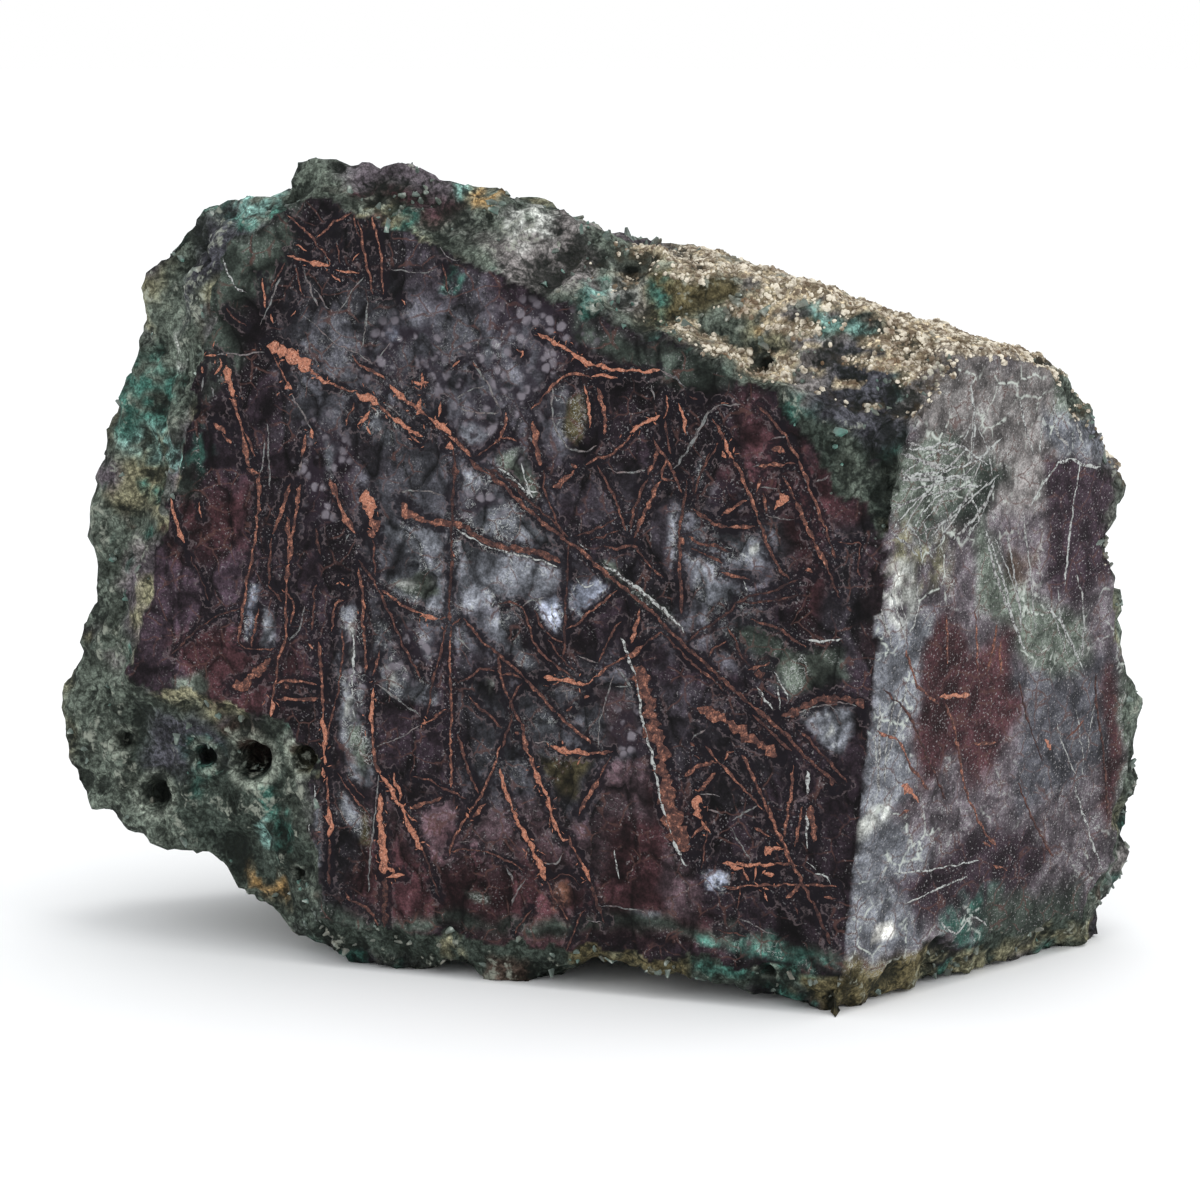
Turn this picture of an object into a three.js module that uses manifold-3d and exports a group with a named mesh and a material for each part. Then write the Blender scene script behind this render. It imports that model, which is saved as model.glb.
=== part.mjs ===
// A hand-sized block of copper ore: dark, copper-veined chalcedony with a chrysocolla rind.
// It is one stone. One face is sawn and polished, the next is only sawn, and the rest is broken.
// Millimetres, +Z up. The origin is on the ground under the middle of the stone.
import * as THREE from "three";
import { mergeVertices } from "three/addons/utils/BufferGeometryUtils.js";
import { ImprovedNoise } from "three/addons/math/ImprovedNoise.js";
import Module from "manifold-3d";

const wasm = await Module();
wasm.setup();

// ---- Driving dimensions -------------------------------------------------------------------

const CORNER = new THREE.Vector3(25.0, -34.15, 0); // foot of the sharp corner, on the ground
const FACE_TURN = 18.8; // degrees, how far the polished face is turned from the XZ plane
const FACE_LEAN = 3; // degrees, how far it leans back
const SIDE_TURN = 42; // degrees, how far the sawn side runs back from the X axis
const SIDE_LEAN = 2.6; // degrees, how far the sawn side leans out over its foot
const BLOCK_DEPTH = 60; // of the raw block behind the polished face
const SIDE_REACH = 170; // how far the sawn side's outline runs into the block
const GROUND = 0;

const EDGE_LIMIT = 6; // longest edge on the broken surfaces
const LUMP_STEP = 13; // size of the big lumps there
const LUMP_HEIGHT = 1.6; // and how far they stand out or in
const GRAIN_STEP = 5;
const GRAIN_HEIGHT = 0.7;
const ON_PLANE = 0.02; // a point this near a flat surface is on it
const ARCH_HEIGHT = 2.6; // how far the underside lifts off the ground between its feet
const ARCH_SPREAD = 1.2; // how far the rise runs, in foot radii

// The block's outline square to the polished face: across from the corner, left being minus,
// and up from the ground.
const FACE_OUTLINE = [
  [70, -4], [-0.5, -4], [-3.5, 1], [-14, 2.6], [-29, 4], [-33.5, 2.8], [-36.5, -1], [-39.5, -1],
  [-43, 2], [-58, 1.2], [-64.5, 3.2], [-72.5, 6.4], [-77, 12], [-88, 12.6], [-94.5, 18],
  [-96.6, 30], [-94.5, 35], [-91.5, 44], [-91.8, 55.5], [-87.8, 67], [-84, 77], [-79, 86],
  [-67, 87.2], [-67, 92], [-63, 94], [-43, 93.5], [-36, 95], [70, 95],
];

// The block's outline square to the sawn side: along it from the corner, and up.
const SIDE_OUTLINE = [
  [-110, -8], [44, -8], [47, 4], [51, 12], [52, 21], [47.5, 34], [43.4, 43.5], [42.3, 51.8],
  [45.4, 53.4], [42.6, 57], [36, 66], [31.5, 71], [27, 78], [-110, 130],
];

// Breaks across the block, each through a point and facing along a normal, both given as
// across, up, and depth behind the polished face.
const BREAKS = [
  { name: "crust on top", at: [0, 76.6, 0], faces: [0.27, 1, 0.09] },
  { name: "top behind the peak", at: [-40, 89, 4], faces: [0.1, 1, 0.22] },
  { name: "rim over the polished face", at: [-25, 73.5, 0], faces: [0.27, 0.7, -1] },
  { name: "chip on the sharp corner", at: [-3, 60, 0], faces: [0.13, 0.12, -1] },
  { name: "left shoulder", at: [-72, 82.5, 0], faces: [-0.3, 0.6, -0.74] },
  { name: "left rim", at: [-77, 65, 0], faces: [-0.42, 0.1, -0.9] },
  { name: "lobe beside the polished face", at: [-80, 27, 0], faces: [-0.2, -0.2, -0.95] },
  { name: "back", at: [0, 30, 47], faces: [0.05, 0.12, 1] },
  { name: "back under the crust", at: [0, 66, 43], faces: [0, 0.9, 1] },
  { name: "back left", at: [-91, 40, 17], faces: [-0.72, 0.12, 0.8] },
  { name: "upper back left", at: [-72, 84, 16], faces: [-0.35, 0.6, 0.8] },
  { name: "lower back", at: [0, 10, 47], faces: [0.1, -0.5, 1] },
];

// The feet that the stone stands on: across, depth, and radius.
const FEET = [
  [-1.5, 4, 7], [-38, 4, 7], [18, 33, 8], [-58, 27, 11], [-22, 36, 11],
];

// ---- The polished face's own directions ---------------------------------------------------

const turn = THREE.MathUtils.degToRad(FACE_TURN);
const lean = THREE.MathUtils.degToRad(FACE_LEAN);
const level = new THREE.Vector3(Math.sin(turn), Math.cos(turn), 0);
const across = new THREE.Vector3(Math.cos(turn), -Math.sin(turn), 0);
const upFace = new THREE.Vector3(0, 0, Math.cos(lean)).addScaledVector(level, Math.sin(lean));
const depth = new THREE.Vector3(0, 0, -Math.sin(lean)).addScaledVector(level, Math.cos(lean));

const sideTurn = THREE.MathUtils.degToRad(SIDE_TURN);
const sideLean = THREE.MathUtils.degToRad(SIDE_LEAN);
const along = new THREE.Vector3(Math.cos(sideTurn), Math.sin(sideTurn), 0);
const outward = new THREE.Vector3(Math.sin(sideTurn), -Math.cos(sideTurn), 0);
const sideNormal = new THREE.Vector3(0, 0, -Math.sin(sideLean))
  .addScaledVector(outward, Math.cos(sideLean));
const upSide = sideNormal.clone().cross(along);

function direction([a, u, d]) {
  return new THREE.Vector3()
    .addScaledVector(across, a)
    .addScaledVector(upFace, u)
    .addScaledVector(depth, d);
}

// ---- Solids -------------------------------------------------------------------------------

function solid(geometry) {
  const bare = geometry.clone();
  bare.deleteAttribute("normal");
  bare.deleteAttribute("uv");
  const merged = mergeVertices(bare, 1e-4);
  return new wasm.Manifold(
    new wasm.Mesh({
      numProp: 3,
      vertProperties: merged.attributes.position.array,
      triVerts: new Uint32Array(merged.index.array),
    }),
  );
}

// An outline drawn on the plane of two directions at the corner, run back along its normal.
function prism(outline, right, up, reach) {
  const shape = new THREE.Shape(outline.map(([x, y]) => new THREE.Vector2(x, y)));
  const geometry = new THREE.ExtrudeGeometry(shape, { depth: reach, bevelEnabled: false });
  const frame = new THREE.Matrix4().makeBasis(right, up, right.clone().cross(up));
  return solid(geometry.translate(0, 0, -reach).applyMatrix4(frame.setPosition(CORNER)));
}

// Takes away everything in front of the plane through a point.
function cutFlat(stone, point, normal) {
  const size = 400;
  const away = new THREE.BoxGeometry(size, size, size).translate(0, 0, size / 2);
  const facing = new THREE.Quaternion().setFromUnitVectors(
    new THREE.Vector3(0, 0, 1),
    normal.clone().normalize(),
  );
  away.applyQuaternion(facing).translate(point.x, point.y, point.z);
  return stone.subtract(solid(away));
}

function cutStone() {
  const fromFace = prism(FACE_OUTLINE, across, upFace, BLOCK_DEPTH);
  const fromSide = prism(SIDE_OUTLINE, along, upSide, SIDE_REACH);
  let stone = fromFace.intersect(fromSide);
  for (const { at, faces } of BREAKS)
    stone = cutFlat(stone, direction(at).add(CORNER), direction(faces));
  return cutFlat(stone, new THREE.Vector3(0, 0, GROUND), new THREE.Vector3(0, 0, -1));
}

// ---- Finer triangles ----------------------------------------------------------------------

const edgeName = (a, b) => (a < b ? `${a},${b}` : `${b},${a}`);

// The triangle turned so that its longest edge comes first.
function longestFirst([a, b, c], points) {
  const length = (p, q) => points[p].distanceToSquared(points[q]);
  const sides = [length(a, b), length(b, c), length(c, a)];
  const longest = sides.indexOf(Math.max(...sides));
  return [[a, b, c], [b, c, a], [c, a, b]][longest];
}

// Halves triangles across their longest edge until none that may be cut is over the limit.
function splitLongEdges(points, faces, limit, mayCut) {
  for (;;) {
    const middles = new Map();
    faces = faces.map((face) => longestFirst(face, points));
    for (const face of faces) {
      const [a, b] = face;
      const name = edgeName(a, b);
      const isShort = points[a].distanceTo(points[b]) <= limit;
      if (isShort || middles.has(name) || !mayCut(face)) continue;
      middles.set(name, points.length);
      points.push(points[a].clone().lerp(points[b], 0.5));
    }
    if (!middles.size) return faces;
    faces = faces.flatMap((face) => halve(face, middles));
  }
}

// Halves a triangle at each of its edges that has a middle.
function halve([a, b, c], middles) {
  for (const [p, q, r] of [[a, b, c], [b, c, a], [c, a, b]]) {
    const m = middles.get(edgeName(p, q));
    if (m !== undefined) return [...halve([p, m, r], middles), ...halve([m, q, r], middles)];
  }
  return [[a, b, c]];
}

// ---- Broken surfaces ----------------------------------------------------------------------

const perlin = new ImprovedNoise();
const noiseAt = (p, step) => perlin.noise(p.x / step + 0.37, p.y / step + 0.71, p.z / step + 0.53);

// Height of the underside: on the ground at each foot, arched between them.
function archAt(fromCorner) {
  const [a, d] = [fromCorner.dot(across), fromCorner.dot(depth)];
  const gaps = FEET.map(([footA, footD, radius]) => Math.hypot(a - footA, d - footD) / radius - 1);
  const rise = THREE.MathUtils.smoothstep(Math.min(...gaps), 0, ARCH_SPREAD);
  return GROUND + ARCH_HEIGHT * rise;
}

const isOn = (point, normal) => Math.abs(point.clone().sub(CORNER).dot(normal)) < ON_PLANE;

// Lumps and grain on the broken surfaces. The two sawn planes and the feet stay flat.
function roughen(point, normal) {
  if (isOn(point, depth) || isOn(point, sideNormal)) return point;
  const from = point.clone().sub(CORNER);
  const onGround = point.z < GROUND + ON_PLANE;
  if (onGround) return point.clone().setZ(archAt(from));
  const lumps = noiseAt(from, LUMP_STEP) * LUMP_HEIGHT + noiseAt(from, GRAIN_STEP) * GRAIN_HEIGHT;
  const moved = point.clone().addScaledVector(normal, lumps);
  const shift = moved.clone().sub(CORNER);
  moved.addScaledVector(depth, Math.max(0, -shift.dot(depth)));
  moved.addScaledVector(sideNormal, -Math.max(0, shift.dot(sideNormal)));
  return moved.setZ(Math.max(moved.z, GROUND + ON_PLANE));
}

function broken(cut) {
  const { vertProperties, triVerts, numProp } = cut.getMesh();
  const points = [];
  for (let i = 0; i < vertProperties.length; i += numProp)
    points.push(new THREE.Vector3(...vertProperties.subarray(i, i + 3)));
  let faces = [];
  for (let i = 0; i < triVerts.length; i += 3) faces.push([...triVerts.subarray(i, i + 3)]);
  const isSawn = (face) =>
    [depth, sideNormal].some((normal) => face.every((index) => isOn(points[index], normal)));
  faces = splitLongEdges(points, faces, EDGE_LIMIT, (face) => !isSawn(face));

  const geometry = new THREE.BufferGeometry().setFromPoints(points);
  geometry.setIndex(faces.flat());
  geometry.computeVertexNormals();
  const normals = geometry.attributes.normal;
  const moved = points.map((point, i) =>
    roughen(point, new THREE.Vector3().fromBufferAttribute(normals, i)),
  );
  geometry.setFromPoints(moved);
  geometry.computeVertexNormals();
  return geometry;
}

// ---- The model ----------------------------------------------------------------------------

const stone = new THREE.Mesh(
  broken(cutStone()),
  new THREE.MeshStandardMaterial({ color: 0x3e3538, roughness: 0.5, metalness: 0 }),
);
stone.name = "stone";

const specimen = new THREE.Group();
specimen.add(stone);

export default specimen;
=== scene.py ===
"""A block of copper ore: copper-veined chalcedony with a rind of chrysocolla.

One stone, and what grew on it. The polished face looks to the front left, the sawn side to the
front right, and the rest is broken rind with a sandy crust on top. Millimetres on the stone's
own faces become metres in the frame.
"""

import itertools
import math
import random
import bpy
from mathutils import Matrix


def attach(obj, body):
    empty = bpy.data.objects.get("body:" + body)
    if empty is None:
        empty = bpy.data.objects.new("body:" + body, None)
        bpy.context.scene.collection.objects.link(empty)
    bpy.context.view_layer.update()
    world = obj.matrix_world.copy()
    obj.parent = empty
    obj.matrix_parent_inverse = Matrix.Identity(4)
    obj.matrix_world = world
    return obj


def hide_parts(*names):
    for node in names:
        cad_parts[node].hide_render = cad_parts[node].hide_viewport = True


bl_info = {
    "name": "Chrysocolla Specimen",
    "version": (1, 0, 0),
    "blender": (4, 5, 0),
    "location": "3D View > Sidebar > Specimen",
    "description": "Shapes a copper ore block, its veins, crust and crystals, and a plain stage",
    "category": "Object",
}

import bmesh
import bpy
import numpy as np
from mathutils import Matrix, Vector, noise
from mathutils.bvhtree import BVHTree

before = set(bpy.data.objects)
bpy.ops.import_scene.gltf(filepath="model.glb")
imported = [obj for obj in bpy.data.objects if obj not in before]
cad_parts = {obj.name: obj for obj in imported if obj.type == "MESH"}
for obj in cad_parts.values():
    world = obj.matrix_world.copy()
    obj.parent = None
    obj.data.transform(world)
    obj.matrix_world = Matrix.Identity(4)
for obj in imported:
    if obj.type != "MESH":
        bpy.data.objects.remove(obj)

MM = 0.001  # metres in a millimetre

# ---- The stone's own faces ------------------------------------------------------------------

CORNER = np.array([25.0, -34.15, 0.0])  # foot of the sharp corner
FACE_TURN = math.radians(18.8)
FACE_LEAN = math.radians(3.0)
SIDE_TURN = math.radians(42.0)
SIDE_LEAN = math.radians(2.6)

UP = np.array([0.0, 0.0, 1.0])
LEVEL = np.array([math.sin(FACE_TURN), math.cos(FACE_TURN), 0.0])
ACROSS = np.array([math.cos(FACE_TURN), -math.sin(FACE_TURN), 0.0])
UP_FACE = UP * math.cos(FACE_LEAN) + LEVEL * math.sin(FACE_LEAN)
DEPTH = LEVEL * math.cos(FACE_LEAN) - UP * math.sin(FACE_LEAN)

ALONG = np.array([math.cos(SIDE_TURN), math.sin(SIDE_TURN), 0.0])
OUTWARD = np.array([math.sin(SIDE_TURN), -math.cos(SIDE_TURN), 0.0])
SIDE_NORMAL = OUTWARD * math.cos(SIDE_LEAN) - UP * math.sin(SIDE_LEAN)
UP_SIDE = np.cross(SIDE_NORMAL, ALONG)

# ---- Tones, as linear colours ---------------------------------------------------------------

TONES = {
    "night": (0.012, 0.008, 0.011),
    "plum": (0.026, 0.017, 0.023),
    "maroon": (0.043, 0.018, 0.021),
    "rust": (0.085, 0.040, 0.028),
    "mauve": (0.064, 0.041, 0.048),
    "slate": (0.052, 0.052, 0.061),
    "steel": (0.110, 0.115, 0.130),
    "ice": (0.230, 0.250, 0.310),
    "milk": (0.420, 0.430, 0.400),
    "smoke": (0.019, 0.016, 0.020),
    "moss": (0.036, 0.046, 0.038),
    "sage": (0.084, 0.100, 0.082),
    "teal": (0.050, 0.130, 0.105),
    "mint": (0.220, 0.380, 0.340),
    "olive": (0.095, 0.080, 0.042),
    "straw": (0.190, 0.180, 0.115),
    "tan": (0.430, 0.360, 0.250),
    "ochre": (0.300, 0.190, 0.080),
    "stone": (0.150, 0.138, 0.134),
    "chalk": (0.620, 0.610, 0.570),
    "umber": (0.070, 0.050, 0.040),
    "dusk": (0.090, 0.076, 0.086),
}

# ---- The polished face, in mm across from the sharp corner and up ---------------------------

# The corners are where the stone's breaks meet the face, and the step beside the lobe.
POLISHED = [
    (-73, 82), (-62, 87.5), (-10, 68), (4, 52.5), (4, 5), (-62, 5), (-62, 24), (-66, 28), (-85, 32),
]

# Each patch: its tone, how soft its edge is, and its outline.
FACE_PATCHES = [
    # broad washes
    ("plum", 5, [(-90, 30), (-70, 30), (-70, 55), (-78, 58), (-90, 55)]),
    ("maroon", 4, [(-79, 49), (-70, 47), (-70, 55), (-79, 56)]),
    ("maroon", 3, [(-78, 31), (-66, 28), (-65, 36), (-72, 40), (-79, 37)]),
    ("mauve", 4, [(-68, 23), (-45, 20), (-20, 21), (-20, 8), (-45, 5), (-62, 4)]),
    ("maroon", 5, [(-60, 16), (-46, 15), (-28, 15), (-14, 14), (-14, 7), (-60, 4)]),
    ("maroon", 3.5, [(-12, 68), (-4, 60), (3, 56), (3, 40), (-4, 43), (-9, 50), (-13, 60)]),
    ("maroon", 4, [(-28, 17), (-22, 26), (-16, 26), (-15, 10), (-27, 10)]),
    ("smoke", 3, [(-68, 78), (-60, 86), (-47, 86), (-44, 79), (-52, 74), (-66, 74)]),
    ("slate", 5, [(-64, 76), (-48, 78), (-34, 74), (-33, 62), (-46, 62), (-56, 60), (-66, 62)]),
    ("slate", 5, [(-56, 60), (-36, 60), (-30, 44), (-42, 36), (-56, 40)]),
    ("slate", 5, [(-44, 34), (-24, 38), (-21, 22), (-42, 20)]),
    ("slate", 4, [(-20, 56), (-9, 54), (-8, 38), (-20, 40)]),
    ("smoke", 3, [(-34, 60), (-20, 60), (-19, 45), (-28, 46)]),
    ("smoke", 2.5, [(-24, 37), (-13, 34), (-6, 28), (-12, 22), (-20, 27)]),
    ("smoke", 3, [(-3, 56), (3, 56), (3, 38), (-2, 40)]),
    ("night", 2, [(-18, 22), (-8, 22), (-4, 8), (-17, 10)]),
    ("smoke", 3, [(-62, 24), (-56, 22), (-56, 4), (-62, 4)]),
    # light cells of chalcedony between the veins
    ("steel", 1.4, [(-45, 50), (-41, 49), (-36, 48.3), (-33, 47.5), (-32.3, 45), (-36, 44.3),
                    (-40, 43.3), (-44, 43)]),
    ("steel", 1.2, [(-44.5, 57.4), (-42, 57.2), (-38, 54.2), (-34, 51.5), (-33, 50), (-36, 49.6),
                    (-41, 50.5), (-44, 52)]),
    ("sage", 1.2, [(-40.5, 59), (-37.5, 60.5), (-35.5, 57), (-35, 55.5), (-36, 55), (-39, 57)]),
    ("ice", 0.7, [(-34.4, 43.4), (-32.5, 44.3), (-32.4, 39.8), (-33.7, 41), (-34.9, 42.8)]),
    ("ice", 0.8, [(-31.2, 46), (-30.5, 45.3), (-29.5, 46), (-28.5, 46.5), (-27, 45.5),
                  (-29.5, 43.3), (-31, 41.7)]),
    ("steel", 0.8, [(-37.2, 40.5), (-36.5, 38.8), (-35.5, 37), (-36.3, 36.2), (-37.8, 37.5)]),
    ("steel", 0.6, [(-35.8, 30.8), (-34.5, 31.9), (-33, 30.4), (-33.4, 29.4), (-35.4, 29.3)]),
    ("milk", 0.6, [(-40.8, 35), (-39.9, 34.8), (-39.2, 33), (-39.6, 32.2), (-40.8, 33.6)]),
    ("steel", 1, [(-41, 41.5), (-38.5, 41.7), (-38, 38), (-39.5, 39), (-41, 40.5)]),
    ("olive", 1, [(-35, 27), (-28.5, 26.2), (-30, 22), (-32, 22), (-33.8, 24.5)]),
    ("slate", 1.2, [(-35.5, 34), (-29, 34), (-27.8, 31), (-28, 28.5), (-29.5, 29.5), (-33, 32.5)]),
    ("mauve", 1.2, [(-27.5, 34.5), (-25, 34), (-23.5, 30), (-22.3, 28.3), (-27.5, 28.3)]),
    ("mauve", 1.2, [(-27, 27), (-22, 27.3), (-20.8, 23), (-21, 20), (-26, 20), (-28.5, 23)]),
    ("steel", 1, [(-58.2, 42), (-56.2, 42), (-55.9, 36), (-55.6, 28), (-54.9, 22),
                    (-57.6, 22.4), (-59, 26), (-58.8, 36)]),
    ("milk", 0.5, [(-57.4, 39.8), (-56.7, 39.8), (-56.6, 36.5), (-57.2, 34.6)]),
    ("milk", 0.6, [(-57.9, 33.6), (-56.4, 34.2), (-56.3, 31), (-56.6, 28.4), (-57.9, 28.6),
                   (-58.1, 31)]),
    ("sage", 0.8, [(-58, 28), (-56, 28.3), (-55.6, 25), (-56.4, 23), (-58, 24.4)]),
    ("steel", 1, [(-54.8, 45.2), (-52.5, 46.2), (-50, 48.2), (-47.2, 47.8), (-46.2, 44),
                    (-46.6, 42), (-49, 42.1), (-52, 43.6)]),
    ("sage", 0.7, [(-53, 44.8), (-51, 46.2), (-48.4, 46.8), (-47.2, 44.6), (-49, 43.2)]),
    ("milk", 0.5, [(-52.4, 44.9), (-51, 45.8), (-49.6, 45.2), (-50.6, 44.4)]),
    ("milk", 0.4, [(-48.6, 45.6), (-47.6, 45.8), (-47.4, 44.7), (-48.2, 44.4)]),
    ("steel", 1.4, [(-54.8, 40), (-53, 39), (-51, 36), (-49, 33), (-48, 31), (-49.5, 31),
                    (-52, 32.5), (-54.5, 33.5), (-55, 36)]),
    ("milk", 0.6, [(-53.6, 35.6), (-52.4, 35), (-51.4, 33.2), (-52.8, 33.4)]),
    ("steel", 0.9, [(-49.5, 39), (-47.5, 39), (-47.2, 36.5), (-48.5, 35.8), (-49.8, 37)]),
    ("slate", 1.6, [(-53, 54), (-52, 60), (-46.4, 60), (-46.2, 56)]),
    ("steel", 1.2, [(-54, 51), (-50, 51.4), (-46.4, 50.6), (-46.2, 48.6), (-52, 48.4)]),
    ("ice", 0.7, [(-70, 43), (-68.8, 42.8), (-69.6, 37.2), (-70.4, 37.2)]),
    ("steel", 0.7, [(-68.2, 41), (-66.6, 40), (-67.1, 36.8), (-68.7, 36.6)]),
    ("steel", 0.8, [(-58.7, 22), (-57.2, 20), (-56.2, 18.6), (-56, 15.5), (-57.6, 16.6), (-59, 18.4)]),
    ("olive", 0.7, [(-56.6, 20), (-55.2, 18.6), (-55.1, 14.6), (-56, 14.9)]),
    ("steel", 0.6, [(-61.9, 19), (-60.9, 19.4), (-60.9, 16), (-62, 16)]),
    ("steel", 0.6, [(-62, 14.8), (-60.8, 14.5), (-60.9, 12), (-62, 12.2)]),
    ("sage", 0.7, [(-43.5, 10.6), (-40.6, 10.3), (-40.8, 9.1), (-43, 9.5)]),
    ("steel", 1, [(-5, 33), (-2.5, 34), (0.5, 34), (1, 31), (0, 28.5), (-1.5, 28.8), (-3.5, 31)]),
    ("milk", 0.5, [(-2.8, 32.6), (-1.8, 32.9), (-1.1, 31), (-2, 30.6)]),
    ("moss", 1.5, [(-15, 41), (-11, 43), (-5, 40.5), (0, 39.6), (0, 36.6), (-4, 35.4), (-7.5, 36.8),
                   (-10, 39)]),
    ("sage", 1, [(-8, 38), (-6, 39.6), (-2, 40), (-1, 37.6), (-3, 36.3), (-6, 35.6)]),
    ("steel", 1.2, [(-15, 52.5), (-10, 52), (-10, 49.5), (-14, 49)]),
    ("milk", 0.4, [(-11.5, 51), (-10.6, 51.3), (-10.4, 50.2), (-11.2, 50)]),
    ("steel", 1.4, [(-17.5, 49), (-14, 47), (-11, 46), (-12, 45), (-17, 44.5)]),
    ("ice", 0.6, [(-15.3, 15), (-13, 15.5), (-12.6, 14.2), (-13.5, 12.7), (-15.1, 13.2)]),
    ("sage", 0.8, [(-29, 49), (-27, 48.6), (-24, 46.3), (-20, 43.2), (-18.6, 41.4), (-20.4, 42.6),
                   (-24.4, 45), (-27.6, 47)]),
    ("rust", 0.7, [(-33, 13), (-31, 12.8), (-31, 10), (-32.5, 9.5)]),
    ("mauve", 1, [(-20, 18), (-17.5, 16), (-16, 13), (-16, 9), (-20, 9.5), (-21, 13)]),
    ("steel", 0.8, [(-23.5, 9.6), (-20.5, 9.9), (-21, 8.2), (-23, 8.5)]),
    ("olive", 0.6, [(-32.5, 66), (-30.5, 67.8), (-29.7, 66.5), (-29.3, 64), (-29.8, 62.8),
                    (-31, 62), (-32.6, 62.8), (-33, 64.5)]),
    ("steel", 0.8, [(-34, 66.6), (-32.6, 67.8), (-33, 64), (-32.4, 61.8), (-33.6, 63)]),
    ("steel", 0.9, [(-44.6, 62.6), (-42.6, 63.4), (-40.6, 62.4), (-41.4, 61), (-43.6, 60.9)]),
    ("night", 0.3, [(-43.3, 62), (-42.7, 62.2), (-42.4, 61.6), (-43, 61.3)]),
    ("steel", 1.2, [(-56.8, 62), (-53.8, 64), (-51.8, 62.6), (-54, 60)]),
    ("steel", 1, [(-20.4, 54), (-19.4, 56), (-19.3, 50), (-20.2, 48)]),
    ("steel", 0.8, [(-17.2, 60), (-16.2, 61), (-16.2, 57.4), (-17, 57)]),
    ("steel", 0.8, [(-61, 56), (-60.6, 60), (-59.4, 60), (-59.8, 56)]),
    ("ice", 0.5, [(-53.6, 72.8), (-52.4, 73.4), (-51.8, 72), (-53, 71.6)]),
    ("steel", 0.7, [(-41, 72.6), (-38.6, 72), (-39, 70.4), (-41.6, 71)]),
    # stained edges of the polished face
    ("moss", 2.5, [(-78, 76), (-74, 82), (-66, 86), (-64, 82), (-70, 76), (-73, 68), (-76, 64)]),
    ("teal", 1.8, [(-79, 58), (-76, 61), (-74, 59), (-77, 55.5), (-84, 54)]),
    ("moss", 2.5, [(-90, 54), (-82, 55), (-78, 58), (-76, 54), (-82, 50), (-90, 47)]),
    ("moss", 1.8, [(-62, 4), (-54, 4), (-40, 6), (-30, 7.2), (-16, 7.4), (0, 5.4), (0, 7.6),
                   (-16, 9.2), (-30, 9), (-54, 6), (-62, 8)]),
    ("teal", 1, [(-17, 8.6), (-13, 7), (-9.4, 8.6), (-5, 8.2), (-1, 6), (-2, 5), (-16, 6.6)]),
    ("sage", 1, [(-80, 32), (-76, 33.4), (-75, 31), (-79, 30)]),
    ("teal", 0.9, [(-47.4, 78), (-46, 80.4), (-44.8, 79), (-45.6, 77.4)]),
    ("moss", 2, [(-30, 74), (-25, 72), (-18, 71), (-12, 69), (-16, 67), (-26, 69.6), (-31, 71.6)]),
    ("teal", 0.9, [(-31, 77), (-29.6, 73.5), (-28.6, 76)]),
]

# Mottled like a leopard's coat: centre across and up, and half sizes.
SPOTTED = [(-61.5, 56.5, 5, 7), (-51, 69.5, 6, 6), (-40, 68, 8, 7), (-36, 73, 7, 4),
           (-38, 62, 4, 4), (-24, 30, 3, 3.5), (-50, 37, 4, 4), (-57, 33, 2, 9),
           (-43, 54, 4, 3), (-13, 56, 3, 3)]

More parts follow.
